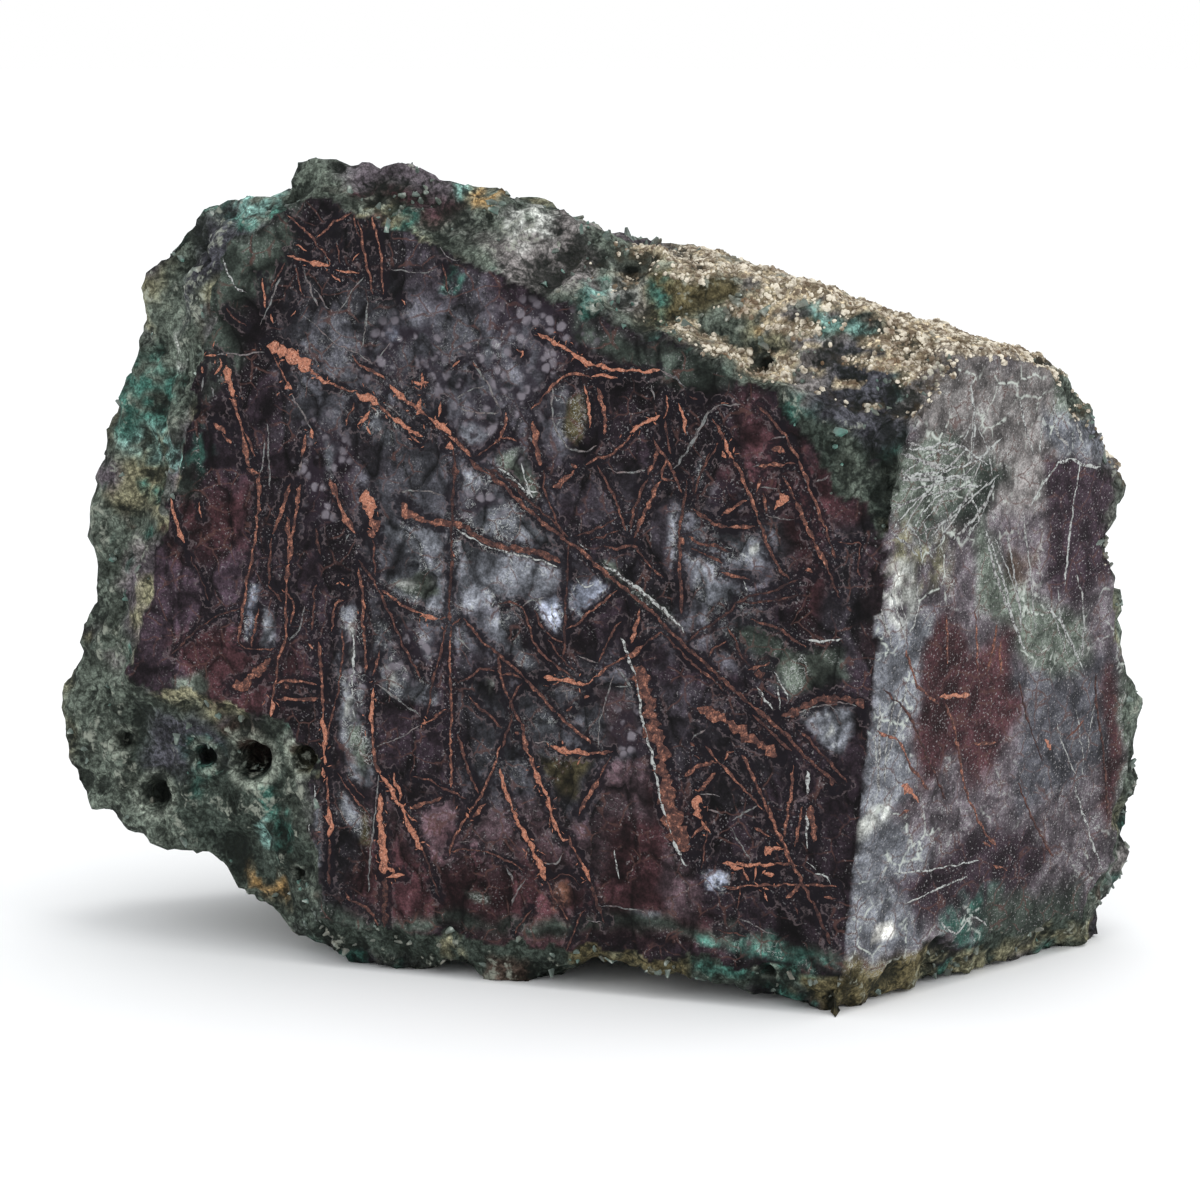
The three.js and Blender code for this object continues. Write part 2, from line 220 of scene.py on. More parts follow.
# The broken rim round the polished face, painted over what shows to the front.
RIM_PATCHES = [
    ("sage", 3, [(-92, 62), (-78, 90), (-64, 92), (-64, 84), (-73, 80), (-78, 62), (-90, 54)]),
    ("slate", 3, [(-79, 84), (-64, 86), (-64, 80), (-74, 78), (-79, 72)]),
    ("teal", 1.6, [(-80, 86.5), (-68, 87.5), (-66, 83.5), (-72, 83)]),
    ("mint", 1.2, [(-75, 87.5), (-69, 87.4), (-70, 84.6), (-74, 85)]),
    ("mint", 1.6, [(-89, 60), (-82, 60.6), (-77, 59), (-78, 56.5), (-86, 56)]),
    ("teal", 1.6, [(-90, 66), (-84, 70), (-80, 66), (-82, 60), (-90, 60)]),
    ("milk", 0.5, [(-81.1, 71.4), (-80.2, 71), (-80.2, 67.4), (-81, 67.6)]),
    ("sage", 2, [(-98, 36), (-88, 38), (-88, 50), (-94, 54)]),
    ("straw", 2, [(-98, 20), (-96, 36), (-92, 36), (-93, 22)]),
    ("sage", 3, [(-96, 12), (-96, 36), (-82, 30), (-66, 27), (-62, 22), (-62, 4), (-76, 6)]),
    ("moss", 3, [(-90, 28), (-80, 28), (-66, 25), (-63, 14), (-66, 5), (-80, 12)]),
    ("slate", 2, [(-86, 27), (-76, 28), (-74, 22), (-84, 20)]),
    ("milk", 1, [(-80, 34.4), (-77, 35), (-76, 32), (-79, 31.4)]),
    ("umber", 1.6, [(-75, 28), (-70, 28), (-68, 23), (-72, 21)]),
    ("teal", 1.4, [(-81, 24), (-77, 25.5), (-74, 22), (-77, 18)]),
    ("mint", 0.7, [(-70.6, 14.2), (-68.6, 16.4), (-67.8, 14), (-69, 12.6)]),
    ("teal", 1, [(-70, 20), (-67, 20), (-64, 15), (-67, 12)]),
    ("ochre", 1.4, [(-72, 11), (-67, 9), (-67, 6.4), (-72, 8)]),
    ("sage", 2.5, [(-66, 84), (-66, 93), (-46, 94), (-46, 82), (-52, 86)]),
    ("maroon", 1.4, [(-62, 88), (-46, 87.6), (-46, 85), (-58, 86.4)]),
    ("teal", 1.2, [(-61, 93), (-54, 92), (-55, 89.6), (-60, 90)]),
    ("teal", 1, [(-48.4, 91.4), (-44, 92), (-43, 88), (-46.6, 86.6)]),
    ("mint", 0.6, [(-47.4, 91), (-45.4, 91), (-45.4, 87.6), (-46.8, 88)]),
    ("teal", 1, [(-54, 86), (-50.4, 86.4), (-50.6, 83.6), (-53.4, 84)]),
    ("sage", 3, [(-46, 82), (-46, 94), (-22, 86), (-22, 72), (-30, 75), (-40, 77)]),
    ("stone", 2, [(-45, 85), (-33, 86), (-28, 77), (-40, 78.6)]),
    ("stone", 2.4, [(-30, 78), (-22, 85), (-4, 77), (1, 71), (-7, 66), (-18, 72)]),
    ("steel", 1.6, [(-20, 78), (-14, 77), (-11, 71), (-17, 72)]),
    ("milk", 0.8, [(-42, 87), (-36, 87.4), (-35, 83), (-40, 82)]),
    ("milk", 0.8, [(-29, 82), (-23, 80), (-24, 76), (-28, 77)]),
    ("milk", 0.7, [(-19, 78), (-15, 77), (-16, 73), (-18.6, 74)]),
    ("dusk", 2, [(-62, 92), (-48, 92), (-48, 87), (-60, 88)]),
    ("ochre", 0.9, [(-46, 88.6), (-42, 88.6), (-42.6, 86.6), (-45.4, 86.8)]),
    ("ochre", 1.2, [(-25, 84), (-18, 80.6), (-19, 79), (-25, 81.4)]),
    ("olive", 2.5, [(-26, 84), (-15, 80), (-15, 72), (-24, 74)]),
    ("teal", 0.8, [(-31, 79.4), (-28.4, 79.6), (-28, 73), (-30.4, 74)]),
    ("mint", 0.6, [(-30.4, 78.8), (-29, 78.6), (-29, 75.4), (-30, 75.6)]),
    ("teal", 0.9, [(-24, 79.6), (-21.6, 79), (-22, 74), (-24, 75)]),
    ("sage", 2, [(-22, 74), (-14, 78), (-8, 72), (-4, 58), (-9, 66), (-18, 70.6)]),
    ("straw", 1.5, [(-13.4, 79), (-8.4, 76), (-7.6, 71), (-11, 69.6), (-14, 74)]),
    ("ochre", 0.8, [(-12.4, 75.6), (-10.4, 75.4), (-10.8, 73.6), (-12, 73.6)]),
    ("umber", 1.2, [(-14, 71.6), (-8, 72), (-7.4, 69.6), (-13, 69.4)]),
    ("teal", 1, [(-9.4, 78.6), (-5, 76), (0, 74.4), (5, 75), (5, 73.4), (0, 73), (-5, 74)]),
    ("mint", 0.5, [(-8.6, 78), (-5, 75.9), (0, 74.2), (4.6, 74.8), (0, 73.6), (-5, 74.8)]),
    ("slate", 2, [(-5, 73), (4, 73), (5, 62), (-3, 62)]),
    ("moss", 1.6, [(-5, 66), (0, 64), (4, 56), (3, 48), (-1, 54), (-6, 62)]),
    ("sage", 0.9, [(-1, 64), (0.6, 60), (2.6, 54), (1, 54), (-2, 60)]),
    ("moss", 1.5, [(-64, 2), (-64, 6), (-30, 8), (0, 6), (0, 2), (-30, 0)]),
    ("olive", 1.4, [(-30, 7), (-18, 7), (-16, 2), (-30, 3)]),
    ("straw", 0.8, [(-27, 6), (-24, 6.6), (-22, 4.4), (-26, 4)]),
    ("straw", 0.8, [(-47, 6), (-44, 6), (-43.6, 2.4), (-46.6, 2.4)]),
    ("teal", 1.2, [(-18, 8.5), (-13.5, 7), (-9.5, 8.3), (-3, 6.3), (-1.2, 4.5), (-8, 2.5), (-16, 3.8)]),
    ("sage", 0.6, [(-19.6, 7.4), (-17.8, 7.6), (-17.8, 4.6), (-19.4, 4.4)]),
    ("olive", 1.2, [(-5, 3.8), (0, 4.8), (4, 5), (3, 2), (-3, 1)]),
    ("umber", 1.2, [(-41, 3), (-36, 3), (-36, -1), (-41, -1)]),
]

# Holes beside the polished face: centre across and up, radius, depth.
HOLES = [(-70.6, 23.2, 2.4, 4), (-63.4, 24, 1.7, 3), (-77, 23, 1.5, 2.6),
         (-64.5, 10.3, 0.8, 1.4), (-88, 24, 1.1, 1.4), (-84, 17.5, 1.9, 2.6),
         (-57.5, 31, 0.6, 1), (-57, 25.5, 0.5, 0.9), (-50, 46.8, 0.7, 0.9),
         (-8.3, 4.4, 0.9, 1.2), (-23.5, 82, 1.3, 1.6), (-27, 80, 1.2, 1.6),
         (-10.8, 70.6, 0.9, 1.4), (-42.9, 61.7, 0.45, 0.6), (-56, 87, 0.9, 1)]

HOLE_RIM = (0.26, 0.29, 0.24)  # the pale skin round a hole

# ---- The sawn side, in mm along from the sharp corner and up --------------------------------

SAWN = [
    (-4, 3.4), (3, 4.6), (7, 3.6), (12, 4.2), (16, 6.2), (21, 4.4), (26, 4.8), (30, 3), (36, 4.4),
    (41, 3.6), (43, 7), (46.4, 10), (45.4, 15), (48, 20), (46.4, 26), (46.8, 31), (43.6, 38), (42.6, 44),
    (40, 49), (41.6, 54), (39.6, 58), (35, 63), (31, 66.6), (27.4, 71), (18, 71.6), (8, 71.2),
    (-4, 71),
]

SIDE_PATCHES = [
    ("stone", 4, [(8, 52), (8, 72), (34, 70), (44, 58), (42, 50), (26, 54)]),
    ("plum", 2.5, [(29, 59), (42, 58), (43, 44), (36, 40), (30, 44)]),
    ("slate", 2, [(-2, 72), (8, 71), (8, 64), (-1, 62)]),
    ("night", 1.5, [(-2, 68), (3, 68), (4, 60), (-1, 60)]),
    ("mint", 1, [(6, 71.4), (9.4, 71), (9, 67), (6.4, 67)]),
    ("moss", 3, [(0, 58), (14, 63), (22, 58), (20, 53), (12, 52), (3, 55)]),
    ("sage", 1.5, [(2, 60), (10, 63), (16, 61), (18, 57), (12, 54), (5, 54)]),
    ("straw", 1.6, [(4, 54), (14, 52), (14, 46), (6, 46)]),
    ("milk", 1, [(5.4, 50), (8.8, 50), (8.6, 42), (5.6, 42)]),
    ("umber", 1.6, [(24, 49.6), (28, 49), (27.6, 44.4), (24, 44)]),
    ("sage", 2, [(18, 54), (24, 48), (30, 42), (38, 40), (40, 34), (32, 34), (22, 42), (18, 48)]),
    ("sage", 1.4, [(38, 72), (30, 71), (30, 64), (42, 58), (44, 62)]),
    ("steel", 2, [(28, 66), (40, 62), (42, 58), (32, 58)]),
    ("sage", 3, [(43, 56), (53, 40), (53, 16), (46, 14), (45, 36), (42, 46)]),
    ("milk", 1.6, [(3, 48), (9, 47), (9, 30), (5, 28), (2, 34)]),
    ("steel", 2.5, [(-1, 46), (12, 44), (12, 26), (6, 20), (-1, 22)]),
    ("milk", 1.2, [(1, 24), (7, 22), (7, 14), (2, 14)]),
    ("milk", 0.9, [(0, 14), (3.6, 14), (3, 9), (0, 9)]),
    ("steel", 2, [(-1, 22), (14, 18), (14, 6), (0, 6)]),
    ("maroon", 2.4, [(9, 40), (14, 44), (20, 38), (25, 41), (27, 30), (23, 22), (16, 27), (11, 22)]),
    ("slate", 3, [(26, 36), (44, 34), (44, 22), (28, 18)]),
    ("maroon", 2, [(42, 34), (46, 30), (46, 14), (43, 16)]),
    ("plum", 2.5, [(8, 14), (24, 18), (36, 14), (30, 8), (12, 8)]),
    ("teal", 1.8, [(16, 9), (26, 9.6), (27, 5), (18, 3.6)]),
    ("moss", 2, [(24, 9), (40, 8), (42, 1), (22, 1)]),
    ("chalk", 0.35, [(4.4, 8.4), (6, 9.3), (8, 9.4), (8.8, 8.6), (7, 7.7), (5, 7.6)]),
    ("olive", 1.4, [(0, 6), (16, 5), (16, 0), (0, 0)]),
    ("straw", 1, [(14, 4), (44, 3), (44, 0), (14, 0)]),
]

# Veins of the polished face: tone, width, and the route each one runs.
FACE_VEINS = [
    # the long bright run from the upper left, and its branches
    ("bright", 1.5, [(-67.9, 70.7), (-66.4, 70.1), (-64.9, 69.9), (-63.6, 69), (-62.6, 68.2)]),
    ("bright", 0.5, [(-63, 68.6), (-62, 67.8), (-61, 67), (-60, 66.8)]),
    ("copper", 0.28, [(-60.4, 66.9), (-59, 66.4), (-58, 66), (-56.8, 66)]),
    ("bright", 0.95, [(-57, 65.9), (-56.2, 65.5), (-55.3, 65.2), (-54.3, 64.7)]),
    ("copper", 0.35, [(-54.4, 64.7), (-53.5, 63.7), (-52.6, 63.2)]),
    ("bright", 0.6, [(-52.7, 63.3), (-51.6, 62.7), (-50.5, 61.8), (-49.1, 61.3)]),
    ("copper", 0.3, [(-50.6, 61.6), (-49.8, 60.9), (-49.4, 60.7)]),
    ("pale", 0.2, [(-53.9, 64.8), (-52.4, 64.2), (-51.8, 63.4)]),
    ("copper", 0.3, [(-67.2, 69.8), (-66.3, 68.3), (-65.5, 66.7)]),
    ("bright", 0.8, [(-65.8, 65.9), (-65.3, 66.4), (-64.8, 66)]),
    ("pale", 0.22, [(-65, 65.6), (-64.4, 64.5), (-63.3, 62.9), (-62.4, 61.4)]),
    ("bright", 0.55, [(-62.5, 61.6), (-62.3, 60.6)]),
    ("copper", 0.3, [(-57.5, 70), (-56.5, 68.8), (-55, 68.4), (-53.4, 67.4)]),
    ("bright", 0.75, [(-53, 67), (-52.2, 66.1), (-51.2, 65.2)]),
    ("copper", 0.4, [(-51.3, 65.3), (-50.3, 64.7), (-49.4, 64.2), (-48.4, 63.6)]),
    ("bright", 0.8, [(-49.8, 63.6), (-49.4, 64.6), (-49.3, 65.4)]),
    ("bright", 0.75, [(-48.3, 63.4), (-47, 62.8), (-46.3, 62.1), (-45.8, 61.6)]),
    ("copper", 0.5, [(-45.9, 61.6), (-45, 60.9), (-44.2, 60.1), (-43.3, 59.2)]),
    ("bright", 0.7, [(-46.2, 60.2), (-45.7, 60.7), (-45.4, 60.1)]),
    ("bright", 0.5, [(-50.2, 67.4), (-49.3, 67.2), (-48.3, 67.3)]),
    ("bright", 0.35, [(-49.1, 68.5), (-49.2, 66.6)]),
    ("bright", 0.5, [(-56.8, 62.3), (-56.2, 63), (-55.4, 64)]),
    ("bright", 0.4, [(-55.8, 62.2), (-55.3, 61.3)]),
    ("copper", 0.25, [(-57.2, 64.8), (-57.9, 63.4), (-58.3, 62.1)]),
    ("pale", 0.18, [(-53, 71.6), (-54.1, 70.3), (-55, 69)]),
    ("bright", 0.35, [(-45.6, 69), (-44.6, 69.8)]),
    ("bright", 0.3, [(-47.2, 63.5), (-46.9, 65.2)]),
    # crossing veins of the upper left
    ("copper", 0.28, [(-65.7, 85.5), (-62.5, 83), (-60.3, 80.5)]),
    ("copper", 0.3, [(-61.9, 83.1), (-60.3, 84.4), (-57.9, 85.9)]),
    ("bright", 0.32, [(-64.4, 82.1), (-63.2, 81.6)]),
    ("bright", 0.25, [(-65.6, 80.9), (-64.3, 80.6), (-63, 80.3)]),
    ("bright", 0.6, [(-63, 80.3), (-61.8, 80), (-60.4, 79.9)]),
    ("bright", 0.25, [(-59.8, 79.4), (-58.5, 79.2), (-56.8, 79.1)]),
    ("bright", 0.28, [(-60.2, 78.9), (-59.1, 78.1)]),
    ("copper", 0.28, [(-57.2, 86.3), (-56.6, 83.5), (-56.1, 80.5), (-55.4, 78.2), (-55.1, 76.8)]),
    ("copper", 0.28, [(-55.8, 86.4), (-54.8, 84), (-54.2, 81.4), (-54.1, 79), (-53.9, 77)]),
    ("brown", 0.18, [(-57.5, 85.6), (-56.9, 83)]),
    ("pale", 0.16, [(-56.2, 78.7), (-57.9, 77.1), (-58.7, 75.4), (-60, 74.3), (-61.6, 74)]),
    ("pale", 0.24, [(-55.9, 76.2), (-55.9, 74.2), (-56.2, 72), (-56.5, 70.6)]),
    ("brown", 0.16, [(-59.6, 82.4), (-59, 80.1)]),
    ("bright", 0.3, [(-57.6, 80.6), (-56.9, 81.4)]),
    ("pale", 0.15, [(-53.1, 79.7), (-51.2, 79.4), (-49, 79.4), (-47.6, 79.8)]),
    ("pale", 0.15, [(-54.2, 86), (-52, 86.9), (-49.4, 86.3), (-47.9, 84.3), (-47.2, 82.2),
                    (-46.3, 81.1), (-44.9, 80.8), (-43.4, 81.8)]),
    ("brown", 0.2, [(-47, 80.5), (-46.4, 78.9), (-46.2, 77.4)]),
    ("brown", 0.22, [(-65.8, 80.1), (-66.8, 78.3), (-67.6, 76.8)]),
    ("copper", 0.22, [(-64.5, 79.6), (-64.1, 78), (-63.7, 76.6)]),
    ("pale", 0.22, [(-63.6, 79.5), (-62.5, 76.8), (-61.8, 75.2)]),
    ("pale", 0.2, [(-62.2, 77.4), (-60.5, 75)]),
    ("pale", 0.26, [(-66.4, 78.5), (-67.2, 76.3), (-68.2, 74.5), (-68.8, 73)]),
    ("bright", 0.28, [(-68.6, 78.4), (-68.4, 76.7), (-68.2, 75)]),
    ("pale", 0.15, [(-64, 74.5), (-61.6, 73.1), (-60.4, 71.6), (-59.2, 71), (-57.8, 70.6),
                    (-56.4, 70), (-55.1, 69)]),
    ("bright", 0.35, [(-51.6, 76.3), (-51.2, 75.7)]),
    ("brown", 0.2, [(-73, 74.8), (-71.8, 73.6), (-70.6, 72.9)]),
    ("bright", 0.25, [(-67.5, 74.4), (-67.1, 73.2)]),
    ("bright", 0.25, [(-65.1, 74.1), (-64.5, 74.9)]),
    # left column of copper
    ("bright", 0.6, [(-76.3, 69.2), (-75.2, 69.5), (-74.2, 69.4)]),
    ("pale", 0.22, [(-74.2, 69.5), (-72.5, 69.9), (-70.8, 69.6), (-68.2, 70.1)]),
    ("bright", 0.28, [(-73.8, 69.2), (-73.7, 68), (-74.4, 67.2)]),
    ("bright", 0.9, [(-73, 68.5), (-72.7, 67.3), (-72.4, 66), (-72.1, 64.8)]),
    ("copper", 0.4, [(-72.1, 65), (-71.9, 63.5), (-71.3, 61.9), (-70.8, 60.5)]),
    ("copper", 0.7, [(-70.9, 60.8), (-70.6, 59.3), (-70.4, 58), (-70.1, 56.9)]),
    ("copper", 0.28, [(-71, 61.2), (-70.1, 59.8), (-69.3, 58.3)]),
    ("copper", 0.8, [(-70.4, 56.9), (-69.6, 56.4), (-68.8, 56.3)]),
    ("copper", 0.5, [(-68.9, 56.5), (-68.9, 54.8), (-68.9, 53.2), (-69.1, 51.6)]),
    ("copper", 0.35, [(-69, 52), (-69.2, 50), (-69.5, 48), (-69.9, 46), (-70.4, 43.8),
                      (-70.6, 41.8), (-71, 39.5), (-71.4, 36.9)]),
    ("pale", 0.2, [(-68.1, 60.3), (-68.4, 58.2), (-68.7, 56.2)]),
    ("pale", 0.2, [(-67.8, 62), (-67.8, 59), (-67.6, 56.8), (-67.5, 54.8)]),
    ("bright", 0.5, [(-76, 68.2), (-75.9, 67.5)]),
    ("pale", 0.25, [(-75.9, 67), (-75.9, 65.3)]),
    ("pale", 0.4, [(-75, 65.8), (-74.7, 64.8)]),
    ("copper", 0.9, [(-74.5, 61.8), (-73.7, 61.2), (-73, 60.6)]),
    ("copper", 0.6, [(-73.5, 60.6), (-72.9, 60), (-72.3, 59.6)]),
    ("copper", 0.4, [(-63.2, 60.9), (-63.5, 59.3), (-63.8, 58.3)]),
    ("pale", 0.4, [(-63.8, 58), (-63.8, 56.6)]),
    ("copper", 0.55, [(-63.9, 55.3), (-64.2, 53), (-64.5, 51), (-64.8, 49), (-65.2, 46.2)]),
    ("copper", 0.5, [(-65.4, 51.5), (-65.2, 49.5), (-65.3, 47)]),
    ("copper", 0.45, [(-65, 55.4), (-65.8, 53.1), (-66.6, 50.8), (-67.1, 49.5)]),
    ("brown", 0.35, [(-67.3, 49), (-67.5, 46.4), (-67.6, 43.6)]),
    ("copper", 0.6, [(-60.3, 56.2), (-59.3, 54.2), (-58.6, 52.3), (-57.8, 51), (-57, 50.2)]),
    ("pale", 0.2, [(-57.8, 50), (-58.3, 48.8)]),
    ("bright", 1.3, [(-55.7, 55), (-55.4, 53.3), (-55.3, 51.8)]),
    ("copper", 1.5, [(-55.2, 52), (-55, 50.8), (-54.9, 49.6)]),
    ("brown", 0.22, [(-54.9, 49.4), (-54.7, 47.4), (-54.5, 45.4)]),
    ("maroon", 0.35, [(-61.9, 50.5), (-61.6, 48.8), (-61.2, 47.3)]),
    ("bright", 0.45, [(-79.9, 53.3), (-79.7, 51.6), (-79.3, 50.3), (-78.7, 48.9), (-78.2, 48)]),
    ("copper", 0.6, [(-83.6, 52.1), (-84, 51.2), (-84.5, 50.4)]),
    ("copper", 0.4, [(-82, 49.8), (-83, 49), (-83.7, 49)]),
    ("copper", 0.35, [(-82.7, 48.1), (-82.3, 47.7)]),
    ("bright", 0.2, [(-76.4, 52.8), (-76.1, 51)]),
    ("brown", 0.25, [(-86.2, 43.2), (-86.5, 40.8), (-86.2, 38.6)]),
    ("copper", 0.4, [(-86.4, 41), (-86.2, 39.2)]),
    ("brown", 0.2, [(-71.5, 36.8), (-69.9, 36.1), (-68, 36.2), (-66.8, 36.6)]),
    ("maroon", 0.22, [(-79.8, 35), (-77, 37.8), (-74, 39.8), (-71.2, 40.8)]),
    ("maroon", 0.2, [(-77.5, 46.5), (-76, 43.8), (-75.2, 41.5)]),
    ("copper", 0.3, [(-68.9, 41), (-69, 39.6), (-69.6, 37.9), (-69.8, 36.4)]),
    ("brown", 0.4, [(-67.7, 43.6), (-66.8, 42.7), (-66, 41.9)]),
    ("copper", 0.5, [(-65.2, 46.3), (-65.4, 44)]),
    ("copper", 0.3, [(-65.4, 44.2), (-65.5, 42), (-65.5, 39.8), (-65.4, 38), (-65.9, 36.5),
                     (-66.4, 35), (-66.8, 32.8), (-67.1, 30.5)]),
    ("bright", 0.5, [(-67.1, 30.6), (-67.3, 28.5), (-67.5, 26.2), (-67.6, 24.2)]),
    ("copper", 0.32, [(-66, 43.3), (-65, 42.5), (-64.4, 42), (-64.6, 40.4), (-64.8, 39.3)]),
    ("pale", 0.25, [(-63.2, 41.6), (-63.4, 40), (-63.9, 38.4), (-64.9, 37.5)]),
    ("brown", 0.28, [(-61.8, 44), (-62.1, 42), (-62.1, 40.2), (-62.3, 38.8)]),
    ("copper", 0.35, [(-58.3, 42.5), (-59.4, 42.2), (-59.6, 40.8), (-59.8, 38.8)]),
    ("bright", 0.9, [(-58.8, 44.5), (-58.3, 44.2)]),
    ("copper", 0.8, [(-62.7, 37.2), (-62.2, 36.7)]),
    ("copper", 0.9, [(-61.5, 35.2), (-60.9, 34.7)]),
    ("copper", 0.36, [(-61.4, 37.5), (-61.2, 35.5), (-61, 33.4), (-60.9, 31), (-60.8, 29.2)]),
    ("bright", 0.5, [(-60.8, 29.4), (-60.6, 27.4), (-60.6, 25.4), (-60.5, 23.6)]),
    ("bright", 0.7, [(-60.8, 23.2), (-60.5, 21.9)]),
    ("copper", 0.32, [(-60.3, 22.2), (-60.1, 20.2), (-60, 18.4)]),
    ("bright", 0.7, [(-60.1, 18.6), (-59.9, 17), (-60, 15.2)]),
    ("maroon", 0.4, [(-59.9, 15), (-60, 12.6), (-60, 9.4)]),
    ("brown", 0.24, [(-60.3, 26.2), (-59.9, 28.6), (-59.2, 31.2), (-58.8, 33.6), (-58.4, 36.2),
                     (-58.5, 39.2)]),
    ("copper", 1.2, [(-72.2, 31.7), (-70.6, 32.1), (-69.2, 33.2), (-68.3, 34.1)]),
    ("copper", 0.9, [(-69, 33.4), (-68, 34.6), (-67.4, 35.3)]),
    ("copper", 0.4, [(-66.6, 32.5), (-65.1, 32.9), (-63.5, 33), (-61.7, 32.6)]),
    ("copper", 0.9, [(-65.7, 32.4), (-65.1, 32)]),
    ("copper", 0.4, [(-66.6, 30.7), (-64.6, 30.7), (-62.8, 30.9), (-61.4, 31.1)]),
    # upright veins left of the middle, and round the white vug
    ("brown", 0.3, [(-56.6, 47.2), (-55.4, 45.6), (-54.5, 44.4), (-53.5, 42.5), (-52.3, 40.3),
                    (-51.3, 38.1), (-50.2, 36.1), (-48.9, 34.1)]),
    ("copper", 0.36, [(-54, 44), (-52.5, 43.1), (-50.6, 42), (-49, 41.6)]),
    ("bright", 0.6, [(-49.2, 41.6), (-48, 41.1), (-46.9, 41)]),
    ("copper", 0.28, [(-47, 41), (-46, 41.3)]),
    ("copper", 0.4, [(-56.7, 46.2), (-56.3, 44.2), (-56, 42.2), (-56, 40), (-55.8, 38),
                     (-55.6, 36), (-55.7, 34.2)]),
    ("bright", 0.55, [(-56.1, 42.8), (-55.9, 41.6)]),
    ("pale", 0.2, [(-55.7, 43.8), (-55, 43.2), (-54.2, 43)]),
    ("copper", 0.3, [(-54, 37), (-54.4, 35.2), (-54.8, 34)]),
    ("bright", 0.5, [(-54.7, 32.8), (-54.8, 31), (-54.9, 29.2), (-54.8, 27.2)]),
    ("copper", 0.45, [(-54.8, 27.4), (-54.7, 25.7), (-54.4, 24.3), (-53.8, 22.8)]),
    ("pale", 0.26, [(-54.4, 33.1), (-53, 32.4), (-51.5, 31.4), (-50, 30.6), (-48.8, 29.8)]),
    ("bright", 0.6, [(-48.8, 29.1), (-48.1, 29.3)]),
    ("pale", 0.2, [(-48.8, 29), (-50.1, 28), (-52, 27), (-54.1, 26.2)]),
    ("copper", 0.28, [(-48.2, 29.3), (-47.1, 30), (-45.8, 30.9)]),
    ("copper", 0.6, [(-47.3, 30), (-46.9, 30.3)]),
    ("brown", 0.26, [(-46, 40.4), (-46.4, 38.2), (-46.8, 36.2), (-47.5, 34.4), (-47.8, 32.2),
                     (-48.1, 30)]),
    ("copper", 0.7, [(-45.6, 41.8), (-45.5, 40.9)]),
    ("copper", 0.36, [(-45.4, 40.2), (-45.5, 37.8), (-45.5, 35.6), (-45.3, 33.4), (-45.2, 31),
                      (-45.4, 28.4), (-45.2, 25.2), (-45.1, 22)]),
    ("brown", 0.28, [(-45.3, 40.3), (-44.2, 41.4)]),
    ("maroon", 0.35, [(-45.3, 60), (-45.2, 58.2), (-45.3, 55.6), (-45.4, 52.4), (-45.5, 50),
                      (-45.4, 47.8), (-45.6, 44.8), (-45.6, 41.8)]),
    ("copper", 0.65, [(-45.2, 58.2), (-45.1, 57)]),
    ("copper", 0.6, [(-45.4, 48.8), (-45, 48)]),
    ("pale", 0.2, [(-51.9, 54.9), (-50.4, 55.2), (-48.4, 55.2), (-46.4, 54.9)]),
    ("copper", 1.5, [(-51.4, 53.8), (-50.8, 52.8), (-50, 52.4)]),
    ("copper", 0.8, [(-50.4, 52.7), (-49, 52), (-47.4, 51.7), (-45.6, 51.8), (-43.8, 51.5)]),
    ("brown", 0.65, [(-44.2, 51.6), (-42.9, 50.6), (-41.4, 50), (-39.5, 49.6), (-36.5, 49.2),
                     (-34.2, 48.8), (-32.6, 48.1)]),
    ("copper", 0.5, [(-42.2, 50.4), (-41.2, 50.1)]),
    ("brown", 0.25, [(-49.9, 22.9), (-48, 22.8), (-46.4, 22), (-44.6, 21.4), (-43.4, 20.9)]),
    ("copper", 0.45, [(-50, 19.2), (-48.4, 19.9), (-46.2, 20.9)]),
    ("pale", 0.22, [(-53.9, 22.8), (-54.2, 20), (-54.4, 17.8), (-54.7, 15.2), (-55, 12.2),
                    (-55.1, 9.2)]),
    ("bright", 0.55, [(-53.7, 22.9), (-52.6, 21.4), (-51.4, 19.9), (-50.7, 18.5)]),
    ("bright", 0.6, [(-50.8, 18.7), (-50, 17.1), (-49.3, 15.7), (-48.5, 14.6)]),
    ("maroon", 0.3, [(-48.5, 14.6), (-47.6, 12.2), (-46.4, 9.4)]),
    ("bright", 0.45, [(-52.3, 23.2), (-51.6, 21.4), (-51.3, 20.1)]),
    ("bright", 0.3, [(-50.6, 18.8), (-49.3, 17.7)]),
    ("bright", 0.7, [(-53.7, 20.8), (-53.8, 19), (-53.6, 17)]),
    ("bright", 1.15, [(-53.7, 17.4), (-53.4, 15.4), (-53.2, 13.4), (-53.1, 11.5)]),
    ("bright", 0.5, [(-53, 12.4), (-52.2, 12), (-51.9, 11.5)]),
    ("bright", 0.55, [(-52.8, 11.2), (-51.8, 11.4), (-50.7, 11.6)]),
    ("maroon", 0.7, [(-53.1, 11.2), (-53, 8.4), (-53, 5.4), (-53, 2.4)]),
    ("brown", 0.3, [(-58, 9), (-57, 7.8), (-55.6, 7.6), (-54.4, 6.6), (-53.9, 5.4)]),
    ("brown", 0.2, [(-59, 22.8), (-57.5, 20.6), (-56, 19), (-54.8, 18)]),
    ("brown", 0.16, [(-57.8, 22.4), (-56.8, 21), (-55.8, 20)]),
    # the eye and its neighbours, top middle
    ("bright", 0.5, [(-35.6, 73.1), (-34.4, 72.5), (-33, 71.9), (-31.6, 71.2)]),
    ("bright", 0.65, [(-31.8, 71.2), (-30.4, 70.4), (-29, 69.9)]),
    ("bright", 0.42, [(-29.2, 70), (-27.2, 69.5), (-25.2, 69.5), (-23.2, 69.3), (-21.6, 69.6)]),
    ("pale", 0.3, [(-21.7, 69.6), (-20.6, 69), (-19.5, 68.8), (-18.8, 68)]),
    ("bright", 0.32, [(-29.4, 68.6), (-28.2, 69), (-26.4, 68.6)]),
